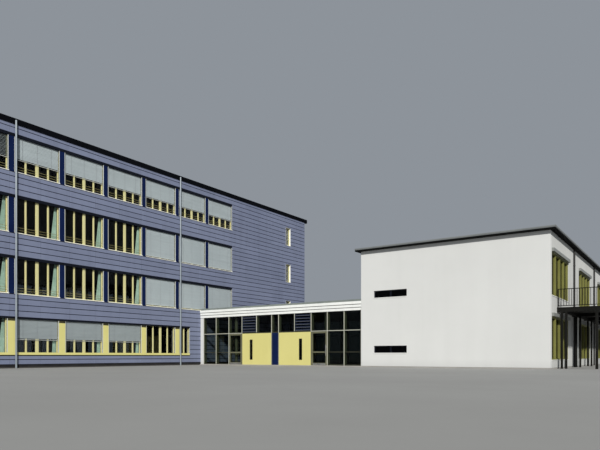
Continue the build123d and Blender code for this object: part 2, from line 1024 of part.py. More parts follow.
def gallery_beams():
    """Steel frame under the deck: two long beams and a cross beam on each post line."""
    w = beam_width
    inner = hall_right + twin_setback
    outer = gallery_edge - w
    grid = rect(outer, gallery_edge, gallery_start, hall_length)
    grid += rect(inner, inner + w, gallery_start, hall_length)
    for y in span_places():
        grid += rect(hall_right, gallery_edge, y - w / 2, y + w / 2)
    top = gallery_level - deck_thickness
    return [along_z(grid, top - beam_height, top)]


def gallery_posts():
    """Posts under each cross beam: a twin pair near the wall and one near the outer edge."""
    top = gallery_level - deck_thickness - beam_height
    h = gallery_post / 2
    posts = []
    for y in span_places():
        x = gallery_edge - outer_post_inset
        posts.append(along_z(rect(x - h, x + h, y - h, y + h), 0, top))
        for x in (hall_right + twin_setback, hall_right + twin_setback + twin_gap):
            posts.append(along_z(rect(x, x + twin_post, y - h, y + h), 0, top))
    return posts


def railing_outline(start, end):
    """Railing panel seen from the side: rails with a row of slender bars between."""
    low = gallery_level + railing_foot
    high = gallery_level + railing_height
    outline = rect(start, end, low, high)
    for post_edge in (start, end - railing_rail):
        outline += rect(post_edge, post_edge + railing_rail, gallery_level, low)
    count = round((end - start - railing_rail) / baluster_pitch)
    pitch = (end - start - railing_rail) / count
    for n in range(count):
        edge = start + railing_rail / 2 + n * pitch + baluster_width / 2
        outline -= rect(edge, edge + pitch - baluster_width, low + railing_rail, high - railing_rail)
    return outline


def gallery_railing():
    """Railing panels, two to a span along the outer edge and one at each end."""
    t = railing_thickness
    places = [gallery_start] + span_places()[1:-1] + [hall_length]
    panels = []
    for a, b in zip(places, places[1:]):
        middle = (a + b) / 2
        for start, end in ((a, middle), (middle, b)):
            outline = railing_outline(start + railing_joint / 2, end - railing_joint / 2)
            panels.append(along_x(outline, gallery_edge - t, gallery_edge))
    near = hall_right + sill_nose + railing_joint
    outline = railing_outline(near, gallery_edge - t - railing_joint)
    panels.append(along_y(outline, gallery_start, gallery_start + t))
    panels.append(along_y(outline, hall_length - t, hall_length))
    return panels


keep("block_base", block_base())
keep("block_plinth", block_plinth())
keep("block_floors", block_floors())
keep("block_roof", block_roof())
keep("block_roof_edge", block_roof_edge())
keep("block_front_wall", block_front_wall())
keep("block_wall_over_passage", block_wall_over_passage())
keep("block_front_wall_end", block_front_wall_end())
keep("block_rear_wall", block_rear_wall())
keep("block_left_end_wall", block_end_wall(block_left + cladding_thickness))
keep("block_right_end_wall", block_end_wall(block_right - cladding_thickness - wall_thickness))
keep("block_cladding", block_cladding())
keep("block_navy_piers", block_navy_piers())
keep("block_yellow_piers", block_yellow_piers())
keep("block_windows", block_windows())
keep("block_glass", block_glass())
keep("block_window_sills", block_window_sills())
keep("block_blind_cassettes", block_blind_cassettes())
keep("block_blinds", block_blinds())
keep("block_pipes", block_pipes())
keep("foyer_floor", foyer_floor())
keep("foyer_roof", foyer_roof())
keep("foyer_fascia", foyer_fascia())
keep("foyer_roof_upstands", foyer_roof_upstands())
keep("foyer_end_piers", foyer_end_piers())
keep("foyer_posts", foyer_posts())
keep("foyer_rails", foyer_rails())
keep("foyer_glass", foyer_glass())
keep("foyer_louvres", foyer_louvres())
keep("foyer_yellow_walls", foyer_yellow_walls())
keep("foyer_navy_panel", foyer_navy_panel())
keep("foyer_columns", foyer_columns())
for side in ("left", "right"):
    keep(side + "_door_leaf", door_leaf(side))
    keep(side + "_door_glass", door_glass(side))
    keep(side + "_door_bar", door_bar(side))
keep("hall_base", hall_base())
keep("hall_floor", hall_floor())
keep("hall_roof", hall_roof())
keep("hall_roof_edge", hall_roof_edge())
keep("hall_front_wall", hall_end_wall(0))
keep("hall_rear_wall", hall_end_wall(hall_length - wall_thickness))
keep("hall_right_wall", hall_right_wall())
keep("hall_left_wall", hall_left_part(wall_thickness, passage_start, ground_slab, []))
keep("hall_wall_over_passage", hall_left_part(passage_start, passage_end, passage_height, []))
keep("hall_left_wall_rear", hall_left_part(passage_end, hall_length - wall_thickness, ground_slab,
                                           hall_side_cells(2)))
keep("hall_windows", hall_windows())
keep("hall_glass", hall_glass())
keep("hall_blind_boxes", hall_blind_boxes())
keep("hall_sills", hall_sills())
keep("hall_pipes", hall_pipes())
keep("gallery_deck", gallery_deck())
keep("gallery_beams", gallery_beams())
keep("gallery_posts", gallery_posts())
keep("gallery_railing", gallery_railing())

os.makedirs("parts", exist_ok=True)
for name, shape in nodes.items():
    export_step(shape, "parts/" + name + ".step")
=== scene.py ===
import bmesh
import bpy
import math
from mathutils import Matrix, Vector


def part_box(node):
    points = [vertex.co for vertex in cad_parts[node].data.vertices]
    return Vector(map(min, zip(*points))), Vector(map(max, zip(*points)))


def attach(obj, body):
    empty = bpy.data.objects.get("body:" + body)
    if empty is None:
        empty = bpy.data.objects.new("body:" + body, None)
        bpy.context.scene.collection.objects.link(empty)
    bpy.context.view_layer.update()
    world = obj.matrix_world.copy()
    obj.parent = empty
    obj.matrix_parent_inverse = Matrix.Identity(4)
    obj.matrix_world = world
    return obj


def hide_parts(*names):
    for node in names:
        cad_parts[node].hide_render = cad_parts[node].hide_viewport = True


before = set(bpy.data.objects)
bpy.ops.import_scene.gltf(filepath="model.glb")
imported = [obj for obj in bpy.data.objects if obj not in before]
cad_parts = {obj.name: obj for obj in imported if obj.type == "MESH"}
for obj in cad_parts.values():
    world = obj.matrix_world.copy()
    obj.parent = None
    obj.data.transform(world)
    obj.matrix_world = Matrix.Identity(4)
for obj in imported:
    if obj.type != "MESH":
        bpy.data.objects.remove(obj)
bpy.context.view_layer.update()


# Masonry shell of the three volumes
# Sand-lime brick walls 300 mm thick, plastered inside. The block's outer wall face lies behind
# the ventilated cladding and carries a dark wind-tight membrane, which also lines the reveals.

membrane_depth = 0.10
membrane_edge = 0.002
membrane_level = 0.06
gloss_spread = 0.07
tint_stops = (0.35, 0.65)


def add(tree, kind, feeds=None, **values):
    """Adds a node to a tree, sets its plain inputs and feeds the others from other nodes' outputs."""
    made = tree.nodes.new(kind)
    for socket, value in values.items():
        made.inputs[socket.replace("_", " ")].default_value = value
    for socket, source in (feeds or {}).items():
        tree.links.new(source, made.inputs[socket])
    return made


def reckoned(tree, operation, first, second=None):
    """Result of one sum on two values, each a node's output or a plain number."""
    made = tree.nodes.new("ShaderNodeMath")
    made.operation = operation
    for socket, value in zip(made.inputs, (first, second)):
        if isinstance(value, bpy.types.NodeSocket):
            tree.links.new(value, socket)
        elif value is not None:
            socket.default_value = value
    return made.outputs[0]


def ramp(tree, value, start, end, below=0.0, above=1.0):
    """Level that runs from below to above while a value runs from start to end."""
    return add(tree, "ShaderNodeMapRange", {"Value": value}, From_Min=start, From_Max=end, To_Min=below,
               To_Max=above).outputs["Result"]


def blend(tree, share, colours, stops=(0.0, 1.0)):
    """Colour between two, by a share from another node."""
    made = add(tree, "ShaderNodeValToRGB", {"Fac": share})
    for end, colour, stop in zip(made.color_ramp.elements, colours, stops):
        end.color = (*colour, 1.0)
        end.position = stop
    return made.outputs["Color"]


def place(tree):
    """Object coordinates, in metres."""
    return add(tree, "ShaderNodeTexCoord").outputs["Object"]


def noise(tree, vector, **values):
    """Soft uneven level."""
    return add(tree, "ShaderNodeTexNoise", {"Vector": vector}, **values).outputs["Fac"]


def finish(name, colour, second, patch=0.4, grain=90.0, relief=0.15, roughness=0.55, metallic=0.0,
           specular=0.5):
    """Surface in two near colours: soft patches, a fine grain and a slightly uneven gloss."""
    made = bpy.data.materials.new(name)
    made.use_nodes = True
    tree = made.node_tree
    shader = tree.nodes["Principled BSDF"]
    shader.inputs["Metallic"].default_value = metallic
    shader.inputs["Specular IOR Level"].default_value = specular
    at = place(tree)
    patches = noise(tree, at, Scale=patch, Detail=6.0, Roughness=0.6)
    fine = noise(tree, at, Scale=grain, Detail=3.0)
    bump = add(tree, "ShaderNodeBump", {"Height": fine}, Strength=relief, Distance=0.002)
    gloss = ramp(tree, patches, 0.0, 1.0, roughness - gloss_spread, roughness + gloss_spread)
    tree.links.new(blend(tree, patches, (colour, second), tint_stops), shader.inputs["Base Color"])
    tree.links.new(bump.outputs["Normal"], shader.inputs["Normal"])
    tree.links.new(gloss, shader.inputs["Roughness"])
    return made


def shade(made, level):
    """Multiplies a surface's colour by a level from another node."""
    tree = made.node_tree
    colour = tree.nodes["Principled BSDF"].inputs["Base Color"]
    product = add(tree, "ShaderNodeVectorMath", {0: colour.links[0].from_socket, 1: level})
    product.operation = "MULTIPLY"
    tree.links.new(product.outputs["Vector"], colour)
    return made


def fade(made, value, start, end, below, above):
    """Shades a surface from below to above while a value runs from start to end."""
    return shade(made, ramp(made.node_tree, value, start, end, below, above))


def where(made, axis):
    """One object coordinate of a surface, in metres."""
    return add(made.node_tree, "ShaderNodeSeparateXYZ", {"Vector": place(made.node_tree)}).outputs[axis]


def wear(material, *nodes):
    """Gives CAD nodes their finished surface."""
    for node in nodes:
        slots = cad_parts[node].data.materials
        slots.clear()
        slots.append(material)


wear(finish("cast_concrete", (0.30, 0.29, 0.27), (0.36, 0.35, 0.33), patch=0.8, relief=0.3, roughness=0.8),
     "foyer_floor", "hall_base", "hall_floor")
wear(finish("dark_screed", (0.045, 0.043, 0.040), (0.060, 0.057, 0.052), patch=0.8, relief=0.2, roughness=0.7,
            specular=0.2), "block_base", "block_floors")
wear(finish("plinth_render", (0.012, 0.012, 0.014), (0.022, 0.022, 0.023), patch=1.5, relief=0.4,
            roughness=0.9, specular=0.2), "block_plinth")

wall_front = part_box("block_front_wall")[1].x
block_middle = (wall_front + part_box("block_rear_wall")[0].x) / 2
membrane_start = wall_front - block_middle - membrane_depth


def plaster_and_membrane():
    """Grey plaster inside, dark membrane on the outer face and in the reveals."""
    made = finish("plastered_wall", (0.16, 0.16, 0.15), (0.20, 0.20, 0.19), patch=0.6, roughness=0.85,
                  specular=0.2)
    from_middle = reckoned(made.node_tree, "SUBTRACT", where(made, "X"), block_middle)
    distance = reckoned(made.node_tree, "ABSOLUTE", from_middle)
    return fade(made, distance, membrane_start, membrane_start + membrane_edge, 1.0, membrane_level)


for node in ("block_front_wall", "block_wall_over_passage", "block_front_wall_end", "block_rear_wall",
             "block_left_end_wall", "block_right_end_wall"):
    wear(plaster_and_membrane(), node)


# Cladding of the classroom block
# Coated fibre-cement panels, ten courses to a storey, hung on dark battens with open joints.
# Each panel was coated on its own, so neighbours differ by a shade.

course = 0.33
first_joint = 0.14
panel_length = 1.777
panel_joint = -6.71
panel_thickness = 0.028
level_joint = 0.038
upright_joint = 0.010
batten_face = 0.012
batten_gap = 0.002
corner_gap = 0.07
under_gap = 0.030
closest_line = 0.02
narrowest_panel = 0.04
same_row = 0.02
weld_distance = 0.00001
streak_range = (0.45, 0.8)


def streaked(made, amount, across=2.5, along=0.12):
    """Rain marks that run down an upright face."""
    tree = made.node_tree
    run = add(tree, "ShaderNodeMapping", {"Vector": place(tree)}, Scale=(across, across, along))
    marks = noise(tree, run.outputs["Vector"], Scale=1.0, Detail=5.0)
    return fade(made, marks, *streak_range, 1.0, 1.0 - amount)


def solids(node):
    """Lowest and highest corner of each separate solid of a CAD node, from the lowest up."""
    shells = bmesh.new()
    shells.from_mesh(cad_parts[node].data)
    bmesh.ops.remove_doubles(shells, verts=shells.verts, dist=weld_distance)
    boxes, seen = [], set()
    for start in shells.verts:
        if start in seen:
            continue
        seen.add(start)
        group, queue = [], [start]
        while queue:
            corner = queue.pop()
            group.append(corner.co.copy())
            for edge in corner.link_edges:
                other = edge.other_vert(corner)
                if other not in seen:
                    seen.add(other)
                    queue.append(other)
        boxes.append(tuple(Vector([pick(co[i] for co in group) for i in range(3)]) for pick in (min, max)))
    shells.free()
    return sorted(boxes, key=lambda box: [round(value, 3) for value in (box[0].z, box[0].y, box[0].x)])


def grid_lines(first, pitch, low, high):
    """Low end, every line of a grid between the ends, and high end."""
    lines = [low]
    line = first + math.ceil((low - first) / pitch) * pitch
    while line < high:
        if line > low + closest_line:
            lines.append(line)
        line += pitch
    return lines + [high]


def beside(field, hole):
    """What is left of a rectangle left, right, under and over a hole."""
    u0, u1, v0, v1 = field
    a, b, c, d = hole
    if a >= u1 or b <= u0 or c >= v1 or d <= v0:
        return [field]
    inner = (max(a, u0), min(b, u1))
    parts = [(u0, a, v0, v1), (b, u1, v0, v1), (*inner, v0, c), (*inner, d, v1)]
    return [part for part in parts if min(part[1] - part[0], part[3] - part[2]) > narrowest_panel]


def cut(fields, holes):
    """Rectangles with every hole cut out of them."""
    for hole in holes:
        fields = [part for field in fields for part in beside(field, hole)]
    return fields


def panel_fields(u0, u1, v0, v1, holes):
    """Rectangles of the panels of one side, cut round its holes and drawn in by half a joint."""
    uprights = grid_lines(panel_joint, panel_length, u0, u1)
    levels = grid_lines(first_joint, course, v0, v1)
    fields = [(a, b, c, d) for a, b in zip(uprights, uprights[1:]) for c, d in zip(levels, levels[1:])]
    u, v = upright_joint / 2, level_joint / 2
    return [(a + u, b - u, c + v, d - v) for a, b, c, d in cut(fields, holes)]


def sockets(tree, **kinds):
    """Named inputs of a Geometry Nodes tree, with its geometry in and out."""
    tree.interface.new_socket("Geometry", in_out="INPUT", socket_type="NodeSocketGeometry")
    for name, kind in kinds.items():
        tree.interface.new_socket(name, in_out="INPUT", socket_type="NodeSocket" + kind)
    tree.interface.new_socket("Geometry", in_out="OUTPUT", socket_type="NodeSocketGeometry")
    return tree.nodes.new("NodeGroupInput").outputs


def named(tree, kind, name):
    """A value that each point carries under a name."""
    carried = tree.nodes.new("GeometryNodeInputNamedAttribute")
    carried.data_type = kind
    carried.inputs["Name"].default_value = name
    return carried.outputs["Attribute"]


def end_tree(tree, instances, given):
    """Gives each copy its own tone, makes the copies real and gives them their finish."""
    tone = add(tree, "FunctionNodeRandomValue", {"Seed": given["Seed"]})
    mark = add(tree, "GeometryNodeStoreNamedAttribute", {"Geometry": instances}, Name="tone")
    mark.domain = "INSTANCE"
    tree.links.new(tone.outputs[1], mark.inputs["Value"])
    real = add(tree, "GeometryNodeRealizeInstances", {"Geometry": mark.outputs["Geometry"]})
    worn = add(tree, "GeometryNodeSetMaterial", {"Geometry": real.outputs["Geometry"],
                                                 "Material": given["Finish"]})
    tree.links.new(worn.outputs["Geometry"], tree.nodes.new("NodeGroupOutput").inputs["Geometry"])
    return tree


def board_layout():
    """Tree that lays a board at every point, as large as the point says."""
    tree = bpy.data.node_groups.new("board_layout", "GeometryNodeTree")
    given = sockets(tree, Finish="Material", Seed="Int")
    cube = add(tree, "GeometryNodeMeshCube")
    laid = add(tree, "GeometryNodeInstanceOnPoints", {"Points": given["Geometry"],
                                                      "Instance": cube.outputs["Mesh"],
                                                      "Scale": named(tree, "FLOAT_VECTOR", "size")})
    return end_tree(tree, laid.outputs["Instances"], given)


def meshed(name, points, edges=(), faces=()):
    """Mesh from its points and its edges or faces."""
    mesh = bpy.data.meshes.new(name)
    mesh.from_pydata(points, edges, faces)
    return mesh


def placed(name, data):
    """Object in the scene from a mesh, a light or a camera."""
    piece = bpy.data.objects.new(name, data)
    bpy.context.scene.collection.objects.link(piece)
    return piece


def grown(name, mesh, tree, edge=0.0, **values):
    """Object whose Geometry Nodes tree has run, left as a plain mesh."""
    piece = placed(name, mesh)
    nodes = piece.modifiers.new("tree", "NODES")
    nodes.node_group = tree
    for socket in tree.interface.items_tree:
        if socket.in_out == "INPUT" and socket.name in values:
            nodes[socket.identifier] = values[socket.name]
    if edge:
        bevel = piece.modifiers.new("edge", "BEVEL")
        bevel.width = edge
        bevel.segments = 1
        bevel.limit_method = "ANGLE"
    state = bpy.context.evaluated_depsgraph_get()
    plain = bpy.data.meshes.new_from_object(piece.evaluated_get(state), preserve_all_data_layers=True,
                                            depsgraph=state)
    piece.modifiers.clear()
    piece.data = plain
    return piece


boards_at_points = board_layout()


def boards(name, material, corners, edge=0.0):
    """One piece of plain boards, each given by its lowest and highest corner."""
    mesh = meshed(name, [(low + high) / 2 for low, high in corners])
    sizes = mesh.attributes.new("size", "FLOAT_VECTOR", "POINT")
    for carried, (low, high) in zip(sizes.data, corners):
        carried.vector = high - low
    return grown(name, mesh, boards_at_points, edge, Finish=material, Seed=7)


def building(piece, slot, *nodes):
    """Fixes a piece to the building and hides the CAD nodes that it stands for; the slot is not used."""
    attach(piece, "building")
    if nodes:
        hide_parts(*nodes)
    return piece


def tone_shade(made, spread):
    """Lets each board differ by its own tone."""
    tone = add(made.node_tree, "ShaderNodeAttribute")
    tone.attribute_name = "tone"
    return fade(made, tone.outputs["Fac"], 0.0, 1.0, 1.0 - spread, 1.0)


def box(x0, x1, y0, y1, z0, z1):
    """Lowest and highest corner of a board."""
    return Vector((x0, y0, z0)), Vector((x1, y1, z1))


def flat(axis, u0, u1, v0, v1, near, far):
    """Lowest and highest corner of a board on a face across X or across Y."""
    across = (min(near, far), max(near, far))
    return box(*across, u0, u1, v0, v1) if axis == "X" else box(u0, u1, *across, v0, v1)


def rows(panes):
    """Each row of windows as one rectangle in Y and Z."""
    found = []
    for level in sorted({round(low.z, 2) for low, high in panes}):
        row = [pane for pane in panes if abs(pane[0].z - level) < same_row]
        found.append((min(low.y for low, high in row), max(high.y for low, high in row),
                      row[0][0].z, row[0][1].z))
    return found


block_panes = solids("block_glass")
front_panes = [pane for pane in block_panes if pane[0].x > block_middle and pane[1].y < 0]
slot_panes = [pane for pane in block_panes if pane[0].x > block_middle and pane[0].y > 0]
rear_panes = [pane for pane in block_panes if pane[0].x < block_middle]
sheet_low, sheet_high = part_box("block_cladding")
comb_low, comb_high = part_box("block_yellow_piers")
passage_low, passage_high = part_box("block_wall_over_passage")
front_holes = [(y0, y1, z0 - under_gap, z1) for y0, y1, z0, z1 in rows(front_panes)[1:]]
front_holes.append((comb_low.y, comb_high.y, comb_low.z - under_gap, comb_high.z))
front_holes += [(low.y, high.y, low.z - under_gap / 2, high.z) for low, high in slot_panes]
front_holes.append((passage_low.y, passage_high.y, 0.0, passage_low.z))
rear_holes = rows(rear_panes)


def cladding_boards():
    """Panels of all four sides and the dark battens behind their joints."""
    panels, battens = [], []
    v0, v1 = sheet_low.z, sheet_high.z
    ends = (sheet_low.x + corner_gap, sheet_high.x - corner_gap, [])
    sides = [("X", sheet_high.x, -1, sheet_low.y, sheet_high.y, front_holes),
             ("X", sheet_low.x, 1, sheet_low.y, sheet_high.y, rear_holes),
             ("Y", sheet_low.y, 1, *ends), ("Y", sheet_high.y, -1, *ends)]
    for axis, face, inward, u0, u1, holes in sides:
        panels += [flat(axis, *field, face, face + inward * panel_thickness)
                   for field in panel_fields(u0, u1, v0, v1, holes)]
        battens += [flat(axis, *field, face + inward * (panel_thickness + batten_gap),
                         face + inward * (panel_thickness + batten_face))
                    for field in cut([(u0, u1, v0, v1)], holes)]
    return panels, battens


panel_coat = finish("blue_grey_coat", (0.170, 0.197, 0.294), (0.189, 0.217, 0.319), patch=0.25, grain=140.0,
                    relief=0.12, roughness=0.55, specular=0.35)
streaked(tone_shade(panel_coat, 0.10), 0.10)
batten_paint = finish("batten_paint", (0.008, 0.010, 0.022), (0.012, 0.014, 0.028), roughness=0.8,
                      specular=0.2)
panel_corners, batten_corners = cladding_boards()
building(boards("cladding_panels", panel_coat, panel_corners, edge=0.003), "blue_cladding", "block_cladding")
building(boards("cladding_battens", batten_paint, batten_corners), "blue_cladding")


# Pier panels and the pelmet strip of the window bands
# Between the windows the bands are closed by folded navy sheets, and along the head of every band runs a dark
# pelmet strip that hides the boxes of the blinds. Its near-black colour is partly its own and partly painted
# shade: the shadow under the band's head.

pelmet_height = 0.14
ground_pelmet_height = 0.09
pelmet_gap = 0.004
pelmet_thickness = 0.010

navy_coat = finish("navy_coat", (0.002, 0.008, 0.046), (0.003, 0.012, 0.060), patch=0.9, relief=0.06,
                   roughness=0.45, specular=0.15)
wear(streaked(navy_coat, 0.15), "block_navy_piers")
# Near-black coat: painted shade on the pelmets, head boxes, yellow band's drip and foyer slot linings; on the
# hall's slot frames it is their own black.
black_frame_and_painted_shade = finish("black_frame_and_painted_shade", (0.0030, 0.0045, 0.0090), (0.0053, 0.0067, 0.0128), patch=0.9,
                     roughness=0.5, specular=0.15)
pier_rear, pier_front = (corner.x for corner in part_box("block_navy_piers"))


def drop_of_pelmet(z):
    """Height of the pelmet strip of the window row that a level belongs to."""
    return ground_pelmet_height if z < comb_high.z else pelmet_height


def pelmets():
    """Pelmet strips in front of the window heads, front and rear."""
    strips = []
    for n, (y0, y1, z0, z1) in enumerate(rows(front_panes)):
        face, end = (pier_front, y1) if n else (comb_high.x, comb_high.y)
        near = face + pelmet_gap
        strips.append(flat("X", y0, end, z1 - drop_of_pelmet(z0), z1, near, near + pelmet_thickness))
    near = pier_rear - pelmet_gap
    return strips + [flat("X", y0, y1, z1 - pelmet_height, z1, near, near - pelmet_thickness)
                     for y0, y1, z0, z1 in rear_holes]


building(boards("window_pelmets_painted_shade", black_frame_and_painted_shade, pelmets(), edge=0.002), "navy_panel")


# Yellow comb of the ground floor
# Painted sheet panels: a band under the ground-floor windows and a broad pier between each two. Each pier is
# headed by a dark olive board that is painted shadow: the shade that the band above casts on the pier's top.
# The band is closed below by a small drip profile painted near black as the shadow line under it.

drip_height = 0.012
drip_proud = 0.012
drip_behind = 0.02
pier_head_height = 0.12
pier_head_proud = 0.004
pier_head_behind = 0.002

yellow_coat = finish("yellow_coat", (0.622, 0.581, 0.217), (0.652, 0.611, 0.240), patch=0.7, relief=0.05,
                     roughness=0.45, specular=0.3)
wear(streaked(yellow_coat, 0.06), "block_yellow_piers")
# Painted shade: the drip strip is near black, standing for the shadow line under the band.
drip = flat("X", comb_low.y, comb_high.y, comb_low.z - under_gap, comb_low.z + drip_height,
            comb_high.x - drip_behind, comb_high.x + drip_proud)
building(boards("yellow_band_shadow_line", black_frame_and_painted_shade, [drip]), "yellow_panel")


def pier_head_shadows():
    """Dark olive boards on the top of each ground-floor pier under the pelmet strip: painted shadow of the
    band above.
    """
    row = [pane for pane in front_panes if pane[0].z < comb_high.z]
    top = row[0][1].z - ground_pelmet_height
    return [flat("X", left[1].y, right[0].y, top - pier_head_height, top, comb_high.x - pier_head_behind,
                 comb_high.x + pier_head_proud) for left, right in zip(row, row[1:])]


pier_head_painted_shadow = finish("pier_head_painted_shadow", (0.040, 0.037, 0.018), (0.055, 0.050, 0.024), patch=0.7, roughness=0.5,
                     specular=0.2)
building(boards("pier_head_shadows", pier_head_painted_shadow, pier_head_shadows(), edge=0.001), "yellow_panel")


# Window frames of the block
# Painted timber: two coupled double casements to a window, with a broad coupled upright between.
# Each light has its own sash, set back a little in the frame.

outer_frame = 0.060
left_jamb = 0.110
right_jamb = 0.040
frame_foot = 0.034
coupled_bar = 0.132
coupled_from = 2.0
light_bar = 0.044
frame_depth = 0.060
sash_width = 0.028
sash_back = 0.012
slot_frame_width = 0.035


def outward(low, high, middle, axis=0):
    """Which way is out for a pane or a post, 1 or -1, and its outer face."""
    return (1, high[axis]) if low[axis] > middle else (-1, low[axis])


def light_edges(y0, y1):
    """Left and right edge of each light of a window, and of each upright between."""
    y0, y1 = y0 + left_jamb, y1 - right_jamb
    bars = [light_bar, coupled_bar, light_bar] if y1 - y0 > coupled_from else [light_bar]
    light = (y1 - y0 - sum(bars)) / (len(bars) + 1)
    lights, uprights = [], []
    for bar in bars + [0.0]:
        lights.append((y0, y0 + light))
        uprights.append((y0 + light, y0 + light + bar))
        y0 += light + bar
    return lights, uprights[:-1]


def ring(axis, u0, u1, v0, v1, width, near, far):
    """Four boards round an opening: two uprights, with head and foot between them."""
    return [flat(axis, a, b, c, d, near, far)
            for a, b, c, d in ((u0, u0 + width, v0, v1), (u1 - width, u1, v0, v1),
                               (u0 + width, u1 - width, v0, v0 + width),
                               (u0 + width, u1 - width, v1 - width, v1))]


def window_members(axis, u0, u1, v0, v1, face, out, lights, uprights, width=outer_frame, foot=frame_foot,
                   depth=frame_depth):
    """Frame, uprights and sashes of one window in front of its pane's outer face."""
    front = face + out * depth
    first, last = lights[0][0], lights[-1][1]
    frame_boards = [flat(axis, a, b, v0, v1, face, front) for a, b in [(u0, first), *uprights, (last, u1)]]
    frame_boards += [flat(axis, first, last, v0, v0 + foot, face, front),
                     flat(axis, first, last, v1 - width, v1, face, front)]
    sash_boards = []
    for a, b in lights:
        sash_boards += ring(axis, a, b, v0 + foot, v1 - width, sash_width, face, front - out * sash_back)
    return frame_boards, sash_boards


def block_frames():
    """Frames and sashes of the front and rear rows and of the slot windows."""
    w = slot_frame_width
    made = [window_members("X", low.y, high.y, low.z, high.z, *outward(low, high, block_middle)[::-1],
                           *light_edges(low.y, high.y)) for low, high in front_panes + rear_panes]
    made += [window_members("X", low.y, high.y, low.z, high.z, high.x, 1, [(low.y + w, high.y - w)], [], w, w)
             for low, high in slot_panes]
    return [sum(members, []) for members in zip(*made)]


timber_paint = finish("timber_paint", (0.585, 0.555, 0.281), (0.608, 0.578, 0.304), patch=1.2, grain=60.0,
                      relief=0.1, roughness=0.45, specular=0.3)
sash_paint = finish("sash_paint", (0.547, 0.517, 0.251), (0.578, 0.547, 0.274), patch=1.2, grain=60.0,
                    relief=0.1, roughness=0.45, specular=0.3)
frame_corners, sash_corners = block_frames()
building(boards("window_frames", tone_shade(timber_paint, 0.05), frame_corners, edge=0.004), "yellow_frame",
         "block_windows")
building(boards("window_sashes", tone_shade(sash_paint, 0.05), sash_corners, edge=0.003), "yellow_frame")


# Linings of the slot windows
# The three slots of the right-hand stretch are lined with folded white sheet from the frame out to
# the cladding, with a short nose at the foot.

lining_sheet = 0.006
lining_proud = 0.006
slot_nose_half = 0.012
slot_nose_past = 0.02
slot_nose_reach = 0.024


def slot_reveals():
    """Lining boards round each slot, and the nose under it."""
    made = []
    face = sheet_high.x + lining_proud
    for low, high in slot_panes:
        made += ring("X", low.y, high.y, low.z, high.z, lining_sheet, high.x + frame_depth, face)
        made.append(flat("X", low.y - slot_nose_past, high.y + slot_nose_past, low.z - slot_nose_half,
                         low.z + slot_nose_half, face, sheet_high.x + slot_nose_reach))
    return made


white_sheet = finish("white_sheet", (0.82, 0.83, 0.80), (0.87, 0.88, 0.85), patch=1.4, relief=0.04,
                     roughness=0.4)
building(boards("slot_reveals", white_sheet, slot_reveals()), "sill_metal")


# Guard rods of the upper windows
# Two slim painted steel rods cross each light of the upper windows low down, to keep people from
# falling out. They are let into the frame and the uprights on both sides.

rod_heights = (0.18, 0.32)
rod_width = 0.020
rod_back = 0.002
rod_let_in = 0.01


def guard_rods():
    """Rods between the uprights of the front's upper rows."""
    rods = []
    for low, high in front_panes:
        if low.z < comb_high.z:
            continue
        front = high.x + frame_depth - rod_back
        rods += [flat("X", y0 - rod_let_in, y1 + rod_let_in, low.z + height, low.z + height + rod_width,
                      front - rod_width, front)
                 for y0, y1 in light_edges(low.y, high.y)[0] for height in rod_heights]
    return rods


rod_paint = finish("rod_paint", (0.22, 0.20, 0.08), (0.26, 0.23, 0.10), roughness=0.4)
building(boards("guard_rods", rod_paint, guard_rods(), edge=0.006), "yellow_frame")


# Window panes of the block and the hall
# Double glazing, clear at the block's front and with a dark solar coating at its rear and in the
# hall. The rooms behind are dim, so the panes look dark and mirror a little of the surroundings.

border_width = 0.01


def glazing(name, tint, second=None, axis="Y", border=0.0):
    """Pane that lets light pass with a tint and mirrors more at a flat angle; past a border a second tint."""
    made = bpy.data.materials.new(name)
    made.use_nodes = True
    tree = made.node_tree
    tree.nodes.remove(tree.nodes["Principled BSDF"])
    waves = noise(tree, place(tree), Scale=0.9, Detail=1.0)
    uneven = add(tree, "ShaderNodeBump", {"Height": waves}, Strength=0.06, Distance=0.02)
    bump = {"Normal": uneven.outputs["Normal"]}
    through = add(tree, "ShaderNodeBsdfTransparent", Color=(*tint, 1.0))
    if second:
        share = ramp(tree, where(made, axis), border, border + border_width)
        tree.links.new(blend(tree, share, (tint, second)), through.inputs["Color"])
    mirror = add(tree, "ShaderNodeBsdfGlossy", bump, Roughness=0.03)
    angle = add(tree, "ShaderNodeFresnel", bump, IOR=1.20)
    both = add(tree, "ShaderNodeMixShader", {0: angle.outputs["Fac"], 1: through.outputs["BSDF"],
                                             2: mirror.outputs["BSDF"]})
    tree.links.new(both.outputs["Shader"], tree.nodes["Material Output"].inputs["Surface"])
    return made


solar_tint = (0.24, 0.26, 0.28)
wear(glazing("block_glazing", solar_tint, second=(0.95, 0.97, 0.96), axis="X", border=block_middle),
     "block_glass")
wear(glazing("solar_glass", solar_tint), "hall_glass")


# Sills of the block's windows
# Folded aluminium, 3 mm thick: a sloping face, a nose that hangs down, and small upturned ends.
# The ground floor's front row has none.

sill_fall = 0.02
sill_sheet = 0.003
sill_lift = 0.03
nose_height = 0.03
nose_reach = 0.025
end_height = 0.035
end_foot = 0.012


def joined(name, material, shapes):
    """One piece from closed shapes, each a list of corners and a list of faces."""
    points, faces = [], []
    for corners, sides in shapes:
        faces += [[n + len(points) for n in side] for side in sides]
        points += [tuple(corner) for corner in corners]
    mesh = meshed(name, points, faces=faces)
    mesh.materials.append(material)
    shell = bmesh.new()
    shell.from_mesh(mesh)
    bmesh.ops.recalc_face_normals(shell, faces=shell.faces)
    shell.to_mesh(mesh)
    shell.free()
    return placed(name, mesh)


def drawn(outline, start, end, upright=False):
    """Closed shape of an outline in X and Z drawn out along Y, or of one in X and Y drawn out upright."""
    corners = [(a, b, t) if upright else (a, t, b) for t in (start, end) for a, b in outline]
    count = len(outline)
    sides = [[n, (n + 1) % count, (n + 1) % count + count, n + count] for n in range(count)]
    return corners, sides + [list(range(count))[::-1], list(range(count, 2 * count))]


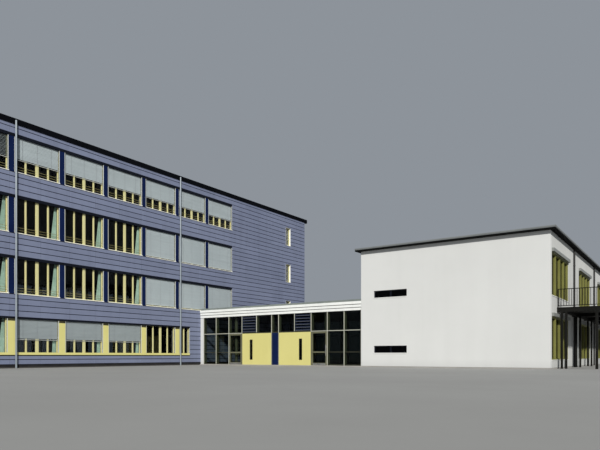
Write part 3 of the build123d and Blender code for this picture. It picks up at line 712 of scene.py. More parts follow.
def sill_shapes():
    """Sheet and upturned ends of each sill."""
    shapes = []
    for low, high in front_panes + rear_panes:
        out, face = outward(low, high, block_middle)
        if out > 0 and low.z < comb_high.z:
            continue
        inner = face + out * frame_depth
        nose = (sheet_high.x if out > 0 else sheet_low.x) + out * nose_reach
        top = low.z + sill_lift
        fold = top - sill_fall
        line = [(inner, top), (nose, fold), (nose, fold - nose_height)]
        under = [(x - out * sill_sheet, z - sill_sheet) for x, z in reversed(line)]
        shapes.append(drawn(line + under, low.y, high.y))
        end = [(inner, top), (nose, fold), (nose, fold + end_foot), (inner, top + end_height)]
        shapes += [drawn(end, y0, y0 + sill_sheet) for y0 in (low.y, high.y - sill_sheet)]
    return shapes


building(joined("window_sills", white_sheet, sill_shapes()), "sill_metal", "block_window_sills")


# Guide rails and slatted blinds of the block
# Crowned aluminium slats 80 mm wide run in side rails and hang on ladder tapes. A heavier bottom
# rail closes each blind. The top row is down part way, and some blinds below are fully down.

slat_pitch = 0.072
slat_width = 0.080
slat_thickness = 0.002
slat_crown = 0.008
slat_points = 5
slat_play = 0.05
crown_fall = -4.0
slat_angle = math.radians(79)
open_angle = math.radians(22)
behind_pelmet = 0.02
tape_width = 0.012
tape_places = (0.17, 0.5, 0.83)
tape_gap = 0.001
tape_thickness = 0.0015
rail_face = 0.032
rail_depth = 0.030
rail_proud = 0.002
stay_size = 0.016
stay_places = (0.12, 0.5, 0.88)
stay_let_in = 0.002
bottom_rail = 0.024
bottom_rail_half = 0.020
foot_drop = 0.12
ground_row_level = 2.9
ground_shade_edge = 0.01
top_row_level = 11.0
same_bay = 0.5
head_box_gap = 0.002

lowered_blinds = solids("block_blinds")


def lifted(tree, geometry, height):
    """Geometry moved up by a height that another node gives."""
    offset = add(tree, "ShaderNodeCombineXYZ", {"Z": height}).outputs["Vector"]
    return add(tree, "GeometryNodeSetPosition", {"Geometry": geometry, "Offset": offset}).outputs["Geometry"]


def slat_layout():
    """Tree that hangs a blind's slats under each point: width, drop and tilt are the point's own."""
    tree = bpy.data.node_groups.new("slat_layout", "GeometryNodeTree")
    given = sockets(tree, Pitch="Float", Slat_Width="Float", Thickness="Float", Crown="Float",
                    Finish="Material", Seed="Int")
    count = reckoned(tree, "DIVIDE", named(tree, "FLOAT", "drop"), given["Pitch"])
    many = add(tree, "GeometryNodeDuplicateElements", {"Geometry": given["Geometry"], "Amount": count})
    many.domain = "POINT"
    step = reckoned(tree, "MULTIPLY", many.outputs["Duplicate Index"], given["Pitch"])
    hung = lifted(tree, many.outputs["Geometry"], reckoned(tree, "MULTIPLY", step, -1.0))
    size = add(tree, "ShaderNodeCombineXYZ", {"X": given["Slat_Width"], "Z": given["Thickness"]}, Y=1.0)
    slat = add(tree, "GeometryNodeMeshCube", {"Size": size.outputs["Vector"]}, Vertices_X=slat_points)
    half = add(tree, "ShaderNodeSeparateXYZ", {"Vector": add(tree, "GeometryNodeInputPosition").outputs[0]})
    share = reckoned(tree, "DIVIDE", half.outputs["X"], given["Slat_Width"])
    fall = reckoned(tree, "MULTIPLY", reckoned(tree, "MULTIPLY", share, share), given["Crown"])
    crowned = lifted(tree, slat.outputs["Mesh"], reckoned(tree, "MULTIPLY", fall, crown_fall))
    jitter = add(tree, "FunctionNodeRandomValue", {"Seed": given["Seed"]})
    jitter.inputs[2].default_value = -slat_play
    jitter.inputs[3].default_value = slat_play
    angle = reckoned(tree, "ADD", named(tree, "FLOAT", "tilt"), jitter.outputs[1])
    turn = add(tree, "ShaderNodeCombineXYZ", {"Y": angle})
    spread = add(tree, "ShaderNodeCombineXYZ", {"Y": named(tree, "FLOAT", "width")}, X=1.0, Z=1.0)
    laid = add(tree, "GeometryNodeInstanceOnPoints", {"Points": hung, "Instance": crowned,
                                                      "Rotation": turn.outputs["Vector"],
                                                      "Scale": spread.outputs["Vector"]})
    return end_tree(tree, laid.outputs["Instances"], given)


def foot_of_blind(z):
    """Foot of a lowered blind: those of the ground floor and of the top row hang a little lower."""
    return z - foot_drop if z < ground_row_level or z > top_row_level else z


def blind_points():
    """One point under each head box, with the blind's width, drop and tilt."""
    first_bay = min(low.y for low, high in lowered_blinds)
    heads = [z1 for y0, y1, z0, z1 in rows(front_panes)]
    points, widths, drops, tilts = [], [], [], []
    for low, high in lowered_blinds:
        top = min(z for z in heads if z > low.z) - drop_of_pelmet(low.z) + behind_pelmet
        points.append(((low.x + high.x) / 2, (low.y + high.y) / 2, top - slat_pitch / 2))
        widths.append(high.y - low.y)
        drops.append(top - foot_of_blind(low.z) - bottom_rail)
        tilts.append(open_angle if low.y < first_bay + same_bay else slat_angle)
    mesh = meshed("blind_points", points)
    for name, values in (("width", widths), ("drop", drops), ("tilt", tilts)):
        mesh.attributes.new(name, "FLOAT", "POINT").data.foreach_set("value", values)
    return mesh


def around(y, z, half):
    """Square of a given half width about a middle."""
    return y - half, y + half, z - half, z + half


def blind_fittings():
    """Bottom rails and tapes of the lowered blinds, and the front windows' side rails on their stays."""
    rails, tapes, stays = [], [], []
    for low, high in lowered_blinds:
        middle = (low.x + high.x) / 2
        foot = foot_of_blind(low.z)
        front = middle + bottom_rail_half
        rails.append(flat("X", low.y, high.y, foot, foot + bottom_rail, middle - bottom_rail_half, front))
        for share in tape_places:
            y = low.y + share * (high.y - low.y)
            tapes.append(flat("X", y - tape_width / 2, y + tape_width / 2, foot + bottom_rail, high.z,
                              front + tape_gap, front + tape_gap + tape_thickness))
    far = pier_front + rail_proud
    for low, high in front_panes:
        near = high.x + frame_depth
        top = high.z - drop_of_pelmet(low.z)
        for y0, y1 in ((low.y, low.y + rail_face), (high.y - rail_face, high.y)):
            rails.append(flat("X", y0, y1, low.z + sill_lift, top, far - rail_depth, far))
            stays += [flat("X", *around((y0 + y1) / 2, low.z + share * (top - low.z), stay_size / 2),
                           near - stay_let_in, far - rail_depth + stay_let_in) for share in stay_places]
    return rails, tapes, stays


def head_boxes():
    """Dark folded boxes behind the pelmet strips, one to a window, coated near black as painted shade."""
    boxes = []
    for low, high in front_panes + rear_panes:
        out, face = outward(low, high, block_middle)
        boxes.append(flat("X", low.y, high.y, high.z - drop_of_pelmet(low.z), high.z,
                          face + out * (frame_depth + head_box_gap), pier_front if out > 0 else pier_rear))
    return boxes


slat_coat = finish("slat_coat", (0.375, 0.431, 0.450), (0.401, 0.459, 0.478), patch=0.9, relief=0.03,
                   roughness=0.42)
tone_shade(slat_coat, 0.05)
# Painted shade: the slats of the ground-floor blinds are darkened to 70 per cent.
fade(slat_coat, where(slat_coat, "Z"), ground_row_level, ground_row_level + ground_shade_edge, 0.70, 1.0)
rail_metal = finish("rail_metal", (0.525, 0.547, 0.525), (0.570, 0.593, 0.570), patch=1.5, relief=0.03,
                    roughness=0.38)
tape_cloth = finish("tape_cloth", (0.26, 0.28, 0.30), (0.32, 0.34, 0.36), grain=400.0, relief=0.3,
                    roughness=0.8)
slats = grown("blind_slats", blind_points(), slat_layout(), Pitch=slat_pitch, Slat_Width=slat_width,
              Thickness=slat_thickness, Crown=slat_crown, Finish=slat_coat, Seed=3)
building(slats, "blind_slats", "block_blinds")
rail_corners, tape_corners, stay_corners = blind_fittings()
building(boards("blind_rails", rail_metal, rail_corners, edge=0.003), "blind_rail", "block_blind_cassettes")
building(boards("blind_rail_stays", rail_metal, stay_corners), "blind_rail")
building(boards("blind_tapes", tape_cloth, tape_corners), "blind_slats")
building(boards("blind_head_boxes_painted_shade", black_frame_and_painted_shade, head_boxes()), "navy_panel")


# Curtains
# Pale blue-green cloth on a slim rail inside, behind the panes of the four left bays. Each curtain
# is pushed to the right-hand jamb, pleated tightly at the rail and spread towards the foot.

curtain_width = 0.48
curtain_folds = 6
fold_steps = 8
deepest_fold = 0.2
fold_halvings = 30
curtain_rows = 14
curtain_head = 0.12
curtain_foot = 0.35
ground_curtain_foot = 0.24
curtain_under = 0.04
curtain_clear = 0.10
curtain_back = 0.075
curtain_bays = 4
curtain_storeys = 3
bay_width = 3.0
storey_height = 3.3
rail_inset = 0.05
rail_foot_under = 0.045
rail_head_under = 0.015
rail_half = 0.012


def pleat(spread, depth):
    """Line of a pleated curtain edge of a given spread, as points across and in depth."""
    count = curtain_folds * fold_steps
    return [(n * spread / count, depth * math.sin(2 * math.pi * n / fold_steps)) for n in range(count + 1)]


def pleat_to_width(spread):
    """The pleated line whose length is the cloth's full width."""
    shallow, deep = 0.0, deepest_fold
    for halving in range(fold_halvings):
        depth = (shallow + deep) / 2
        line = pleat(spread, depth)
        if sum(math.dist(a, b) for a, b in zip(line, line[1:])) < curtain_width:
            shallow = depth
        else:
            deep = depth
    return line


def smooth(mesh):
    """Smooth shading on every face."""
    mesh.polygons.foreach_set("use_smooth", [True] * len(mesh.polygons))


def curtain_mesh(name, low, high, foot_spread):
    """Cloth behind the right-hand light of one window, and its drop."""
    top, foot = high.z - curtain_under, low.z + curtain_clear
    points = []
    for row in range(curtain_rows + 1):
        share = row / curtain_rows
        line = pleat_to_width(curtain_head + (foot_spread - curtain_head) * share)
        points += [(low.x - curtain_back + depth, high.y - right_jamb - across, top + (foot - top) * share)
                   for across, depth in line]
    width = curtain_folds * fold_steps + 1
    starts = [row * width + n for row in range(curtain_rows) for n in range(width - 1)]
    mesh = meshed(name, points, faces=[[a, a + 1, a + width + 1, a + width] for a in starts])
    mesh.materials.append(curtain_cloth)
    smooth(mesh)
    return mesh, top - foot


curtain_cloth = finish("curtain_cloth", (0.35, 0.48, 0.40), (0.49, 0.63, 0.54), patch=3.0, grain=700.0,
                       relief=0.5, roughness=0.85, specular=0.2)
curtain_rails = []
for low, high in front_panes:
    bay = round((low.y - comb_low.y) / bay_width)
    storey = int(low.z / storey_height)
    if bay >= curtain_bays or storey >= curtain_storeys:
        continue
    foot_spread = ground_curtain_foot if storey == 0 and bay > 0 else curtain_foot
    mesh, drop = curtain_mesh(f"curtain_{storey}_{bay}", low, high, foot_spread)
    curtain = building(placed(mesh.name, mesh), "blind_slats")
    rail_x = low.x - curtain_back
    curtain_rails.append(flat("X", low.y + rail_inset, high.y - rail_inset, high.z - rail_foot_under,
                              high.z - rail_head_under, rail_x - rail_half, rail_x + rail_half))
building(boards("curtain_rails", rail_metal, curtain_rails, edge=0.002), "blind_rail")


# Rainwater pipes
# Zinc pipes in lengths of three metres that stand in each other's sockets, held off the wall by
# clamps with a stay. The hall's pipes are coated dark.

pipe_sides = 28
socket_pitch = 3.0
socket_height = 0.07
socket_grip = 0.006
clamp_sides = 20
clamp_height = 0.035
clamp_grip = 0.009
stay_half = 0.011
stay_foot = 0.008
stay_head = 0.027
pipe_head_rise = 0.15
pipe_slimmer = 0.009
crease_angle = math.radians(35)


def turned(profile, centre, sides=pipe_sides):
    """Closed shape of a profile of radius and height turned round an upright axis."""
    angles = [2 * math.pi * n / sides for n in range(sides)]
    corners = [(centre[0] + radius * math.cos(a), centre[1] + radius * math.sin(a), z)
               for radius, z in profile for a in angles]
    faces = []
    for r in range(len(profile) - 1):
        for n in range(sides):
            m = (n + 1) % sides
            faces.append([r * sides + n, r * sides + m, (r + 1) * sides + m, (r + 1) * sides + n])
    top = (len(profile) - 1) * sides
    return corners, faces + [list(range(sides))[::-1], list(range(top, top + sides))]


def pipe_shapes(node, wall_x, slimmer=0.0, rise=0.0):
    """Pipes with their sockets, and the clamps and stays that hold them to a wall."""
    pipes, clamps = [], []
    for low, high in solids(node):
        x, y = centre = ((low.x + high.x) / 2, (low.y + high.y) / 2)
        radius = (high.x - low.x) / 2 - socket_grip - slimmer
        wide, grip = radius + socket_grip, radius + clamp_grip
        profile, z = [(radius, low.z)], low.z + socket_pitch
        while z < high.z - socket_height:
            profile += [(radius, z), (wide, z), (wide, z + socket_height), (radius, z + socket_height)]
            z += socket_pitch
        pipes.append(turned(profile + [(radius, high.z + rise)], centre))
        stay = [(wall_x, y - stay_half), (x, y - stay_half), (x, y + stay_half), (wall_x, y + stay_half)]
        z = low.z + socket_pitch / 2
        while z < high.z:
            clamps.append(turned([(grip, z), (grip, z + clamp_height)], centre, clamp_sides))
            clamps.append(drawn(stay, z + stay_foot, z + stay_head, upright=True))
            z += socket_pitch / 2
    return pipes, clamps


def rounded(name, material, shapes):
    """One piece from closed shapes, smooth on its curved faces and sharp at the edges."""
    piece = joined(name, material, shapes)
    smooth(piece.data)
    piece.data.set_sharp_from_angle(angle=crease_angle)
    return piece


zinc = finish("zinc_pipe", (0.240, 0.278, 0.310), (0.288, 0.328, 0.362), patch=1.2, relief=0.05,
              roughness=0.42, metallic=0.3)
streaked(zinc, 0.12)
dark_pipe_coat = finish("dark_pipe_coat", (0.020, 0.020, 0.020), (0.030, 0.029, 0.028), roughness=0.5,
                        specular=0.25)
pipes, clamps = pipe_shapes("block_pipes", sheet_high.x, pipe_slimmer, pipe_head_rise)
building(rounded("block_rain_pipes", zinc, pipes), "pipe_light", "block_pipes")
building(rounded("block_pipe_clamps", zinc, clamps), "pipe_light")
pipes, clamps = pipe_shapes("hall_pipes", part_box("hall_right_wall")[1].x)
building(rounded("hall_rain_pipes", dark_pipe_coat, pipes), "pipe_dark", "hall_pipes")
building(rounded("hall_pipe_clamps", dark_pipe_coat, clamps), "pipe_dark")


# Roofs
# Flat roofs with a dark welded sheet in strips one metre wide and a folded metal edge in lengths of
# three metres, a cover strap over each joint. The block's roof ends close over its front panels.

strip_width = 1.0
lap_mark = 0.03
lap_width = 0.08
lap_height = 0.004
lap_sunk = 0.001
strap_pitch = 3.0
strap_width = 0.06
strap_lift = 0.003
strap_sunk = 0.0005
front_drawn_back = 0.325
roof_raised = 0.04
face_sheet = 0.012
face_drop = 0.05
rim_width = 0.11
hall_face_height = 0.085
hall_face_edge = 0.004
hall_face_top = 0.001


def steps(pitch, low, high):
    """Every full step of a pitch between two ends."""
    return grid_lines(low + pitch, pitch, low, high)[1:-1]


def roof_sheet():
    """Dark sheet with a faint line at each lap and dried puddles."""
    made = finish("roof_sheet", (0.014, 0.015, 0.019), (0.024, 0.026, 0.031), patch=0.35, grain=220.0,
                  relief=0.5, roughness=0.8, specular=0.1)
    from_lap = reckoned(made.node_tree, "PINGPONG", where(made, "Y"), strip_width / 2)
    return fade(made, from_lap, 0.0, lap_mark, 0.6, 1.0)


def hall_roof_finish():
    """Dark sheet on the hall's roof plate, with a metal face along the upper part of its edge; below the
    face, the edge and soffit are painted near black as shade.
    """
    made = finish("slate_coat_with_painted_shade", (0.160, 0.174, 0.178), (0.195, 0.209, 0.213), patch=0.8, relief=0.06,
                  roughness=0.8, specular=0.06)
    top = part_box("hall_roof")[1].z
    foot = top - hall_face_height
    # Painted shade: under the metal face, the plate's edge and its soffit are darkened to near black.
    fade(made, where(made, "Z"), foot, foot + hall_face_edge, 0.02, 1.0)
    return fade(made, where(made, "Z"), top - hall_face_edge, top - hall_face_top, 1.0, 0.1)


def edge_straps(low, high):
    """Cover straps over the joints of one roof's metal edge."""
    straps = []
    half, head, proud = strap_width / 2, high.z + strap_lift, strap_lift - strap_sunk
    for y in steps(strap_pitch, low.y, high.y):
        for x0, x1 in ((low.x - proud, low.x + rim_width), (high.x - rim_width, high.x + proud)):
            straps.append(box(x0, x1, y - half, y + half, low.z, head))
    for x in steps(strap_pitch, low.x, high.x):
        for y0, y1 in ((low.y - proud, low.y + rim_width), (high.y - rim_width, high.y + proud)):
            straps.append(box(x - half, x + half, y0, y1, low.z, head))
    return straps


def block_roof_shapes():
    """Roof plate with its laps, its folded metal faces, and the box of those faces."""
    low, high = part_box("block_roof")
    high = Vector((high.x - front_drawn_back, high.y, high.z + roof_raised))
    t, w, foot, top = face_sheet, rim_width, low.z - face_drop, high.z + face_sheet
    plate = [(low, high)]
    plate += [box(low.x + w, high.x - w, y, y + lap_width, high.z - lap_sunk, high.z + lap_height)
              for y in steps(strip_width, low.y, high.y)]
    faces = [box(x, x + t, low.y - t, high.y + t, foot, top) for x in (low.x - t, high.x)]
    faces += [box(low.x, high.x, y, y + t, foot, top) for y in (low.y - t, high.y)]
    faces += [box(x, x + w, low.y, high.y, high.z, top) for x in (low.x, high.x - w)]
    faces += [box(low.x + w, high.x - w, y, y + w, high.z, top) for y in (low.y, high.y - w)]
    return plate, faces, (Vector((low.x - t, low.y - t, foot)), high + Vector((t, t, t)))


sheet_finish = roof_sheet()
edge_sheet = finish("edge_sheet", (0.0025, 0.0030, 0.0045), (0.0040, 0.0045, 0.0065), patch=0.8, relief=0.06,
                    roughness=0.7, specular=0.02)
slate_edge = finish("slate_edge_sheet", (0.155, 0.168, 0.172), (0.190, 0.203, 0.207), patch=0.8, relief=0.06,
                    roughness=0.5, specular=0.3)
wear(sheet_finish, "foyer_roof")
wear(slate_edge, "hall_roof_edge")
wear(hall_roof_finish(), "hall_roof")
plate_corners, face_corners, face_box = block_roof_shapes()
building(boards("block_roof_plate", sheet_finish, plate_corners), "roof_dark", "block_roof")
building(boards("block_roof_faces", edge_sheet, face_corners, edge=0.002), "edge_metal", "block_roof_edge")
building(boards("block_edge_straps", edge_sheet, edge_straps(*face_box)), "edge_metal")
building(boards("hall_edge_straps", slate_edge, edge_straps(*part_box("hall_roof_edge"))), "slate_edge")


# Fascia, upstand and white walls
# The fascia is three coated boards, each set back under the one above, and over it stands a low upstand of
# weathered sheet with upright seams. End piers and hall are rendered white; the hall's side towards the
# gallery is a shade greyer, painted shade for the weaker light on that side.

seam_pitch = 0.6
seam_width = 0.012
seam_lift = 0.018
fascia_boards = 3
fascia_setback = 0.025
joint_height = 0.024
joint_lift = 0.001
joint_proud = 0.002
joint_behind = 0.012
splash_foot = 0.05
splash_top = 0.5
splash_level = 0.90


def upstand_seams():
    """Standing seams on both faces of the two upstands."""
    return [box(x, x + seam_width, low.y - seam_lift, high.y + seam_lift, low.z, high.z)
            for low, high in solids("foyer_roof_upstands") for x in steps(seam_pitch, low.x, high.x)]


def fascia_groove_shades():
    """Dark strips in the grooves under the fascia's boards, front and rear: painted shade of the grooves."""
    low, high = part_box("foyer_fascia")
    made = []
    for n in range(fascia_boards):
        depth = (fascia_boards - 1 - n) * fascia_setback
        z = low.z + n * (high.z - low.z) / fascia_boards
        for face, out in ((low.y + depth, -1), (high.y - depth, 1)):
            made.append(flat("Y", low.x, high.x, z + joint_lift, z + joint_height, face + out * joint_proud,
                             face - out * joint_behind))
    return made


def wall_render(name, colour, second):
    """Fine scratched render with a little soiling near the ground."""
    made = finish(name, colour, second, patch=0.22, grain=260.0, relief=0.35, roughness=0.88)
    fade(made, where(made, "Z"), splash_foot, splash_top, splash_level, 1.0)
    return streaked(made, 0.035, across=1.2, along=0.08)


board_coat = finish("white_board_coat", (0.78, 0.80, 0.78), (0.84, 0.86, 0.84), patch=0.5, relief=0.04,
                    roughness=0.45, specular=0.3)
flashing = finish("weathered_sheet", (0.20, 0.23, 0.22), (0.27, 0.30, 0.28), patch=0.8, relief=0.08,
                  roughness=0.45, metallic=0.3)
# Painted shade: near-black strips stand for the shadow in the fascia's grooves.
fascia_groove_painted_shade = finish("fascia_groove_painted_shade", (0.045, 0.047, 0.048), (0.060, 0.062, 0.063), roughness=0.7,
                       specular=0.2)
wear(streaked(board_coat, 0.07), "foyer_fascia")
wear(streaked(flashing, 0.15), "foyer_roof_upstands")
wear(wall_render("white_render", (0.603, 0.613, 0.604), (0.633, 0.643, 0.634)), "foyer_end_piers",
     "hall_front_wall", "hall_rear_wall", "hall_left_wall", "hall_wall_over_passage", "hall_left_wall_rear")
# Painted shade: the same white render, darker, on the side wall towards the gallery.
wear(wall_render("white_render_painted_shade", (0.505, 0.515, 0.502), (0.550, 0.560, 0.547)), "hall_right_wall")
building(boards("upstand_seams", flashing, upstand_seams(), edge=0.003), "flashing")
building(boards("fascia_groove_shades", fascia_groove_painted_shade, fascia_groove_shades()), "white_board")


# Posts, rails and caps of the foyer's glazing
# Deep steel posts coated olive stand between the panes and reach far behind them. Slim pale
# pressure caps run along the outer faces of posts and transoms.

cap_proud = 0.012
cap_half = 0.021
cap_let_in = 0.001
transom_cap_back = 0.002
shortest_cap = 0.05
lowest_transom = 2.0
at_wall = 0.1
side_cap_half = 0.012
side_cap_beside = 0.03

olive_coat = finish("olive_coat", (0.115, 0.115, 0.070), (0.140, 0.140, 0.090), patch=0.8, relief=0.05,
                    roughness=0.5, specular=0.3)
wear(olive_coat, "foyer_posts", "foyer_columns", "left_door_leaf", "right_door_leaf")
wear(finish("dark_olive_coat", (0.030, 0.030, 0.020), (0.042, 0.042, 0.028), patch=0.8, relief=0.05,
            roughness=0.55, specular=0.2), "foyer_rails")
# Painted shade: the pale caps are coated a mid grey, darkened for the shade of trees on them.
caps_with_painted_shade = finish("pale_cap_coat", (0.40, 0.41, 0.35), (0.47, 0.48, 0.41), patch=1.0, relief=0.04,
                  roughness=0.42)
yellow_low, yellow_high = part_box("foyer_yellow_walls")
navy_low, navy_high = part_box("foyer_navy_panel")


def glazing_caps():
    """Caps over the outer faces of posts and transoms, and down both sides of the middle panel."""
    caps = []
    middle = sum(corner.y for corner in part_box("foyer_posts")) / 2
    for low, high in solids("foyer_posts"):
        x = (low.x + high.x) / 2
        out, face = outward(low, high, middle, axis=1)
        beside_wall = out < 0 and min(abs(x - yellow_low.x), abs(x - yellow_high.x)) < at_wall
        caps.append(flat("Y", x - cap_half, x + cap_half, yellow_high.z if beside_wall else low.z, high.z,
                         face - out * cap_let_in, face + out * cap_proud))
    for low, high in solids("foyer_rails"):
        if low.z < lowest_transom:
            continue
        z = (low.z + high.z) / 2
        out, face = outward(low, high, middle, axis=1)
        spans = [(low.x, high.x)]
        if out < 0:
            spans = [(low.x, min(high.x, yellow_low.x)), (max(low.x, yellow_high.x), high.x)]
        caps += [flat("Y", x0, x1, z - cap_half, z + cap_half, face - out * cap_let_in,
                      face + out * (cap_proud - transom_cap_back))
                 for x0, x1 in spans if x1 - x0 > shortest_cap]
    return caps + [flat("Y", x - side_cap_half, x + side_cap_half, navy_low.z, navy_high.z,
                        yellow_low.y + cap_let_in, yellow_low.y - cap_proud)
                   for x in (navy_low.x - side_cap_beside, navy_high.x + side_cap_beside)]


building(boards("glazing_caps", caps_with_painted_shade, glazing_caps(), edge=0.002), "olive_frame")


# Panes and louvred lights of the foyer
# The front is clear glass; the rear has solar-control panes. Two lights over the yellow walls
# hold dark leaning blades, each with a pale nosing along its front edge.

blades = 6
nosing_height = 0.013
nosing_under = 0.043
nosing_inset = 0.04
nosing_front = 0.002
nosing_rear = 0.012

foyer_middle = sum(corner.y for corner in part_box("foyer_glass")) / 2
wear(glazing("clear_glass", (0.66, 0.70, 0.68), second=(0.12, 0.14, 0.14), border=foyer_middle),
     "foyer_glass", "left_door_glass", "right_door_glass")
wear(finish("louvre_coat", (0.005, 0.009, 0.024), (0.008, 0.013, 0.032), roughness=0.5, specular=0.15),
     "foyer_louvres")


def louvre_nosings():
    """Pale strips along the front edge of each blade."""
    strips = []
    for low, high in solids("foyer_louvres"):
        for n in range(blades):
            z = low.z + (n + 0.5) * (high.z - low.z) / blades - nosing_under
            strips.append(flat("Y", low.x + nosing_inset, high.x - nosing_inset, z - nosing_height,
                               z + nosing_height / 2, low.y + nosing_front, low.y + nosing_rear))
    return strips


nosing_coat = finish("nosing_coat", (0.150, 0.165, 0.200), (0.180, 0.195, 0.235), roughness=0.45,
                     specular=0.3)
building(boards("louvre_nosings", nosing_coat, louvre_nosings(), edge=0.003), "louvre_metal")


# Yellow walls and navy panel of the foyer
# Smooth painted walls under the transom, each with one upright slot lined with near-black sheet, painted
# shade for the slot's dim depth. Between them stands a narrow coated panel with a pale cap down each side.

slot_lining = 0.012
lining_back = 0.004
slot_pane_depth = 0.08
widest_slot_pane = 0.3

yellow_wall_paint = finish("yellow_wall_paint", (0.602, 0.558, 0.209), (0.630, 0.586, 0.228), patch=0.35,
                           grain=180.0, relief=0.12, roughness=0.65, specular=0.3)
wear(streaked(yellow_wall_paint, 0.03), "foyer_yellow_walls")
wear(navy_coat, "foyer_navy_panel")


def slot_shade_linings():
    """Near-black lining round each upright slot, before and behind its pane: painted shade for the depth of
    the slot.
    """
    linings = []
    for low, high in solids("foyer_glass"):
        in_wall = yellow_low.y + slot_pane_depth <= low.y <= foyer_middle
        if in_wall and high.x - low.x <= widest_slot_pane:
            for near, far in ((yellow_low.y + lining_back, low.y), (high.y, yellow_high.y - lining_back)):
                linings += ring("Y", low.x, high.x, low.z, high.z, slot_lining, near, far)
    return linings


building(boards("slot_shade_linings", black_frame_and_painted_shade, slot_shade_linings()), "navy_panel")


# Doors of the foyer
# Glazed leaves in olive frames that turn on pivots at foot and head, each with a brushed pull bar,
# a lock plate behind the bar and a kick plate at the foot.

plate_proud = 0.003
plate_let_in = 0.001
kick_inset = 0.10
kick_foot = 0.012
kick_head = 0.135
lock_half = 0.020
lock_foot = 0.12
lock_head = 0.28
lock_prouder = 0.002

brushed = finish("brushed_steel", (0.46, 0.46, 0.45), (0.54, 0.54, 0.52), patch=2.0, grain=300.0, relief=0.2,
                 roughness=0.3, metallic=0.9)


def door_plates(side):
    """Kick plate and lock plate on the outer face of a leaf."""
    low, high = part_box(side + "_door_leaf")
    bar_low, bar_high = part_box(side + "_door_bar")
    x, z = (bar_low.x + bar_high.x) / 2, (bar_low.z + bar_high.z) / 2
    proud, inner = low.y - plate_proud, low.y + plate_let_in
    return [box(low.x + kick_inset, high.x - kick_inset, proud, inner, low.z + kick_foot, low.z + kick_head),
            box(x - lock_half, x + lock_half, proud - lock_prouder, inner, z + lock_foot, z + lock_head)]


for side in ("left", "right"):
    wear(brushed, side + "_door_bar")
    plates = boards(side + "_door_plates", brushed, door_plates(side), edge=0.0015)
    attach(plates, side + "_door")


# Windows of the hall
# The front has two long low slots with dark frames. The side towards the gallery has tall painted
# timber windows of up to four lights, with projecting boxes for their blinds and folded sills.

hall_mullion = 0.07
slot_mullion = 0.05
slot_lights = 2
hall_frame_depth = 0.115
hall_frame_lift = 0.03
hall_light_pitch = 1.15
thickest_pane = 0.1

hall_wall_low, hall_wall_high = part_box("hall_front_wall")
hall_middle_x = (hall_wall_low.x + hall_wall_high.x) / 2
hall_middle_y = (hall_wall_low.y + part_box("hall_rear_wall")[1].y) / 2


def even_lights(u0, u1, count, width, mullion):
    """Left and right edge of evenly spread lights, and of the uprights between them."""
    light = (u1 - u0 - 2 * width - (count - 1) * mullion) / count
    starts = [u0 + width + n * (light + mullion) for n in range(count)]
    return [(a, a + light) for a in starts], [(a + light, a + light + mullion) for a in starts[:-1]]


def hall_frames():
    """Timber frames and sashes of the side windows, and dark frames of the slots."""
    timber, sashes, dark = [], [], []
    w = slot_frame_width
    for low, high in solids("hall_glass"):
        if high.x - low.x < thickest_pane:
            out, face = outward(low, high, hall_middle_x)
            lights = even_lights(low.y, high.y, round((high.y - low.y) / hall_light_pitch), outer_frame,
                                 hall_mullion)
            made = window_members("X", low.y, high.y, low.z + hall_frame_lift, high.z, face, out, *lights,
                                  depth=hall_frame_depth)
            timber += made[0]
            sashes += made[1]
        else:
            out, face = outward(low, high, hall_middle_y, axis=1)
            dark += sum(window_members("Y", low.x, high.x, low.z, high.z, face, out,
                                       *even_lights(low.x, high.x, slot_lights, w, slot_mullion), w, w), [])
    return timber, sashes, dark


hall_timber_paint = finish("green_yellow_paint", (0.150, 0.150, 0.038), (0.190, 0.190, 0.052), patch=1.0,
                           grain=60.0, relief=0.12, roughness=0.5, specular=0.3)
timber_corners, hall_sash_corners, dark_corners = hall_frames()
building(boards("hall_timber_frames", hall_timber_paint, timber_corners, edge=0.004), "green_frame",
         "hall_windows")
building(boards("hall_timber_sashes", hall_timber_paint, hall_sash_corners, edge=0.003), "green_frame")
building(boards("hall_slot_frames", black_frame_and_painted_shade, dark_corners, edge=0.003), "green_frame")
wear(finish("blind_box_coat", (0.19, 0.20, 0.19), (0.23, 0.24, 0.23), patch=1.2, relief=0.04, roughness=0.45),
     "hall_blind_boxes")
wear(white_sheet, "hall_sills")


# Gallery beside the hall
# Welded steel frame coated dark: a deck on two long beams and cross beams, three posts under each
# cross beam, and railing panels of square bars between a top and a foot rail.

baluster_pitch = 0.12
baluster_size = 0.024
railing_bar = 0.040
foot_gap = 0.06

gallery_coat = finish("gallery_coat", (0.007, 0.007, 0.006), (0.011, 0.011, 0.010), patch=1.2, relief=0.06,
                      roughness=0.55, specular=0.08)
wear(gallery_coat, "gallery_deck", "gallery_beams", "gallery_posts")
deck_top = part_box("gallery_deck")[1].z
foot_level = deck_top + foot_gap
railing_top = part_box("gallery_railing")[1].z


def baluster_layout():
    """Tree that stands a square bar at even steps along each line."""
    tree = bpy.data.node_groups.new("baluster_layout", "GeometryNodeTree")
    given = sockets(tree, Pitch="Float", Height="Float", Finish="Material", Seed="Int")
    lines = add(tree, "GeometryNodeMeshToCurve", {"Mesh": given["Geometry"]})
    stepped = add(tree, "GeometryNodeResampleCurve", {"Curve": lines.outputs["Curve"]})
    stepped.mode = "LENGTH"
    tree.links.new(given["Pitch"], stepped.inputs["Length"])
    size = add(tree, "ShaderNodeCombineXYZ", {"Z": given["Height"]}, X=baluster_size, Y=baluster_size)
    bar = add(tree, "GeometryNodeMeshCube", {"Size": size.outputs["Vector"]})
    laid = add(tree, "GeometryNodeInstanceOnPoints", {"Points": stepped.outputs["Curve"],
                                                      "Instance": bar.outputs["Mesh"]})
    return end_tree(tree, laid.outputs["Instances"], given)


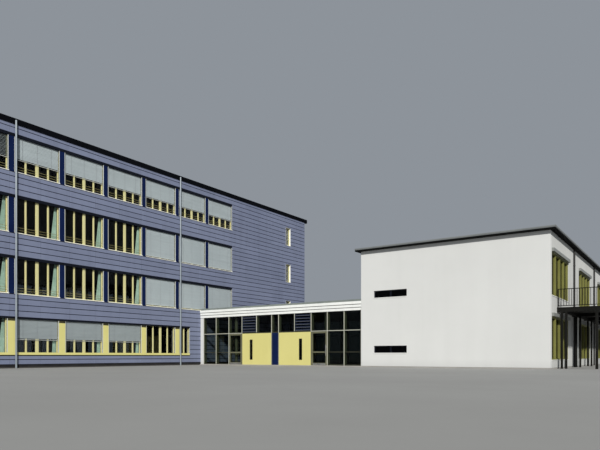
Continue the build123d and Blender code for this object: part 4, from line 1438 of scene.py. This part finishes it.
def railing_shapes():
    """A line at half height along each panel, where its bars stand, and its rails and end posts."""
    points, rails = [], []
    for low, high in solids("gallery_railing"):
        along = 1 if high.y - low.y > high.x - low.x else 0
        first, last = high.copy(), low.copy()
        first[along] = low[along] + railing_bar
        last[along] = high[along] - railing_bar
        for inner in (first, last):
            end = (low + high) / 2
            end[along] = inner[along]
            end.z = (foot_level + railing_top) / 2
            points.append(end)
        head = high.z - railing_bar
        rails += [box(low.x, high.x, low.y, high.y, head, high.z),
                  box(low.x, high.x, low.y, high.y, foot_level, foot_level + railing_bar),
                  box(low.x, first.x, low.y, first.y, deck_top, head),
                  box(last.x, high.x, last.y, high.y, deck_top, head)]
    return points, rails


line_ends, rail_boards = railing_shapes()
railing_lines = meshed("railing_lines", line_ends, [(n, n + 1) for n in range(0, len(line_ends), 2)])
bars = grown("railing_bars", railing_lines, baluster_layout(), Pitch=baluster_pitch,
             Height=railing_top - foot_level - 2 * railing_bar, Finish=gallery_coat, Seed=5)
building(bars, "gallery_steel")
building(boards("railing_rails", gallery_coat, rail_boards, edge=0.003), "gallery_steel", "gallery_railing")


# Floor, light and camera
# A plain pale floor under soft studio light: one lamp from behind the camera, a little to its
# right, and pale surroundings.

floor_half = 200.0
floor_level = -0.003
lamp_direction = (0.66, -0.76, 0.52)
lamp_width = math.radians(2.5)
lamp_strength = 4.0
lamp_colour = (1.0, 0.97, 0.92)
surroundings = (0.74, 0.81, 0.90, 1.0)
surroundings_strength = 0.36
photo_width = 600
focal_pixels = 572
sensor_width = 36.0
view_reach = 500.0

corners = ((-1, -1), (1, -1), (1, 1), (-1, 1))
floor = placed("floor", meshed("floor", [(x * floor_half, y * floor_half, floor_level) for x, y in corners],
                               faces=[[0, 1, 2, 3]]))
floor.data.materials.append(finish("pale_floor", (0.32, 0.32, 0.31), (0.35, 0.35, 0.34), patch=0.15,
                                   grain=30.0, relief=0.1, roughness=0.9, specular=0.1))

lamp = placed("lamp", bpy.data.lights.new("lamp", "SUN"))
lamp.data.energy = lamp_strength
lamp.data.angle = lamp_width
lamp.data.color = lamp_colour
lamp.rotation_euler = Vector(lamp_direction).to_track_quat("Z", "Y").to_euler()

world = bpy.data.worlds.new("studio")
bpy.context.scene.world = world
world.use_nodes = True
world.node_tree.nodes["Background"].inputs["Color"].default_value = surroundings
world.node_tree.nodes["Background"].inputs["Strength"].default_value = surroundings_strength
bpy.context.scene.view_settings.view_transform = "Standard"

camera = placed("camera", bpy.data.cameras.new("camera"))
camera.location = (23.48, -35.57, 0.68)
camera.rotation_euler = (math.radians(90), 0.0, math.radians(34.6))
camera.data.sensor_width = sensor_width
camera.data.lens = sensor_width * focal_pixels / photo_width
camera.data.shift_y = 0.2178
camera.data.clip_end = view_reach
bpy.context.scene.camera = camera
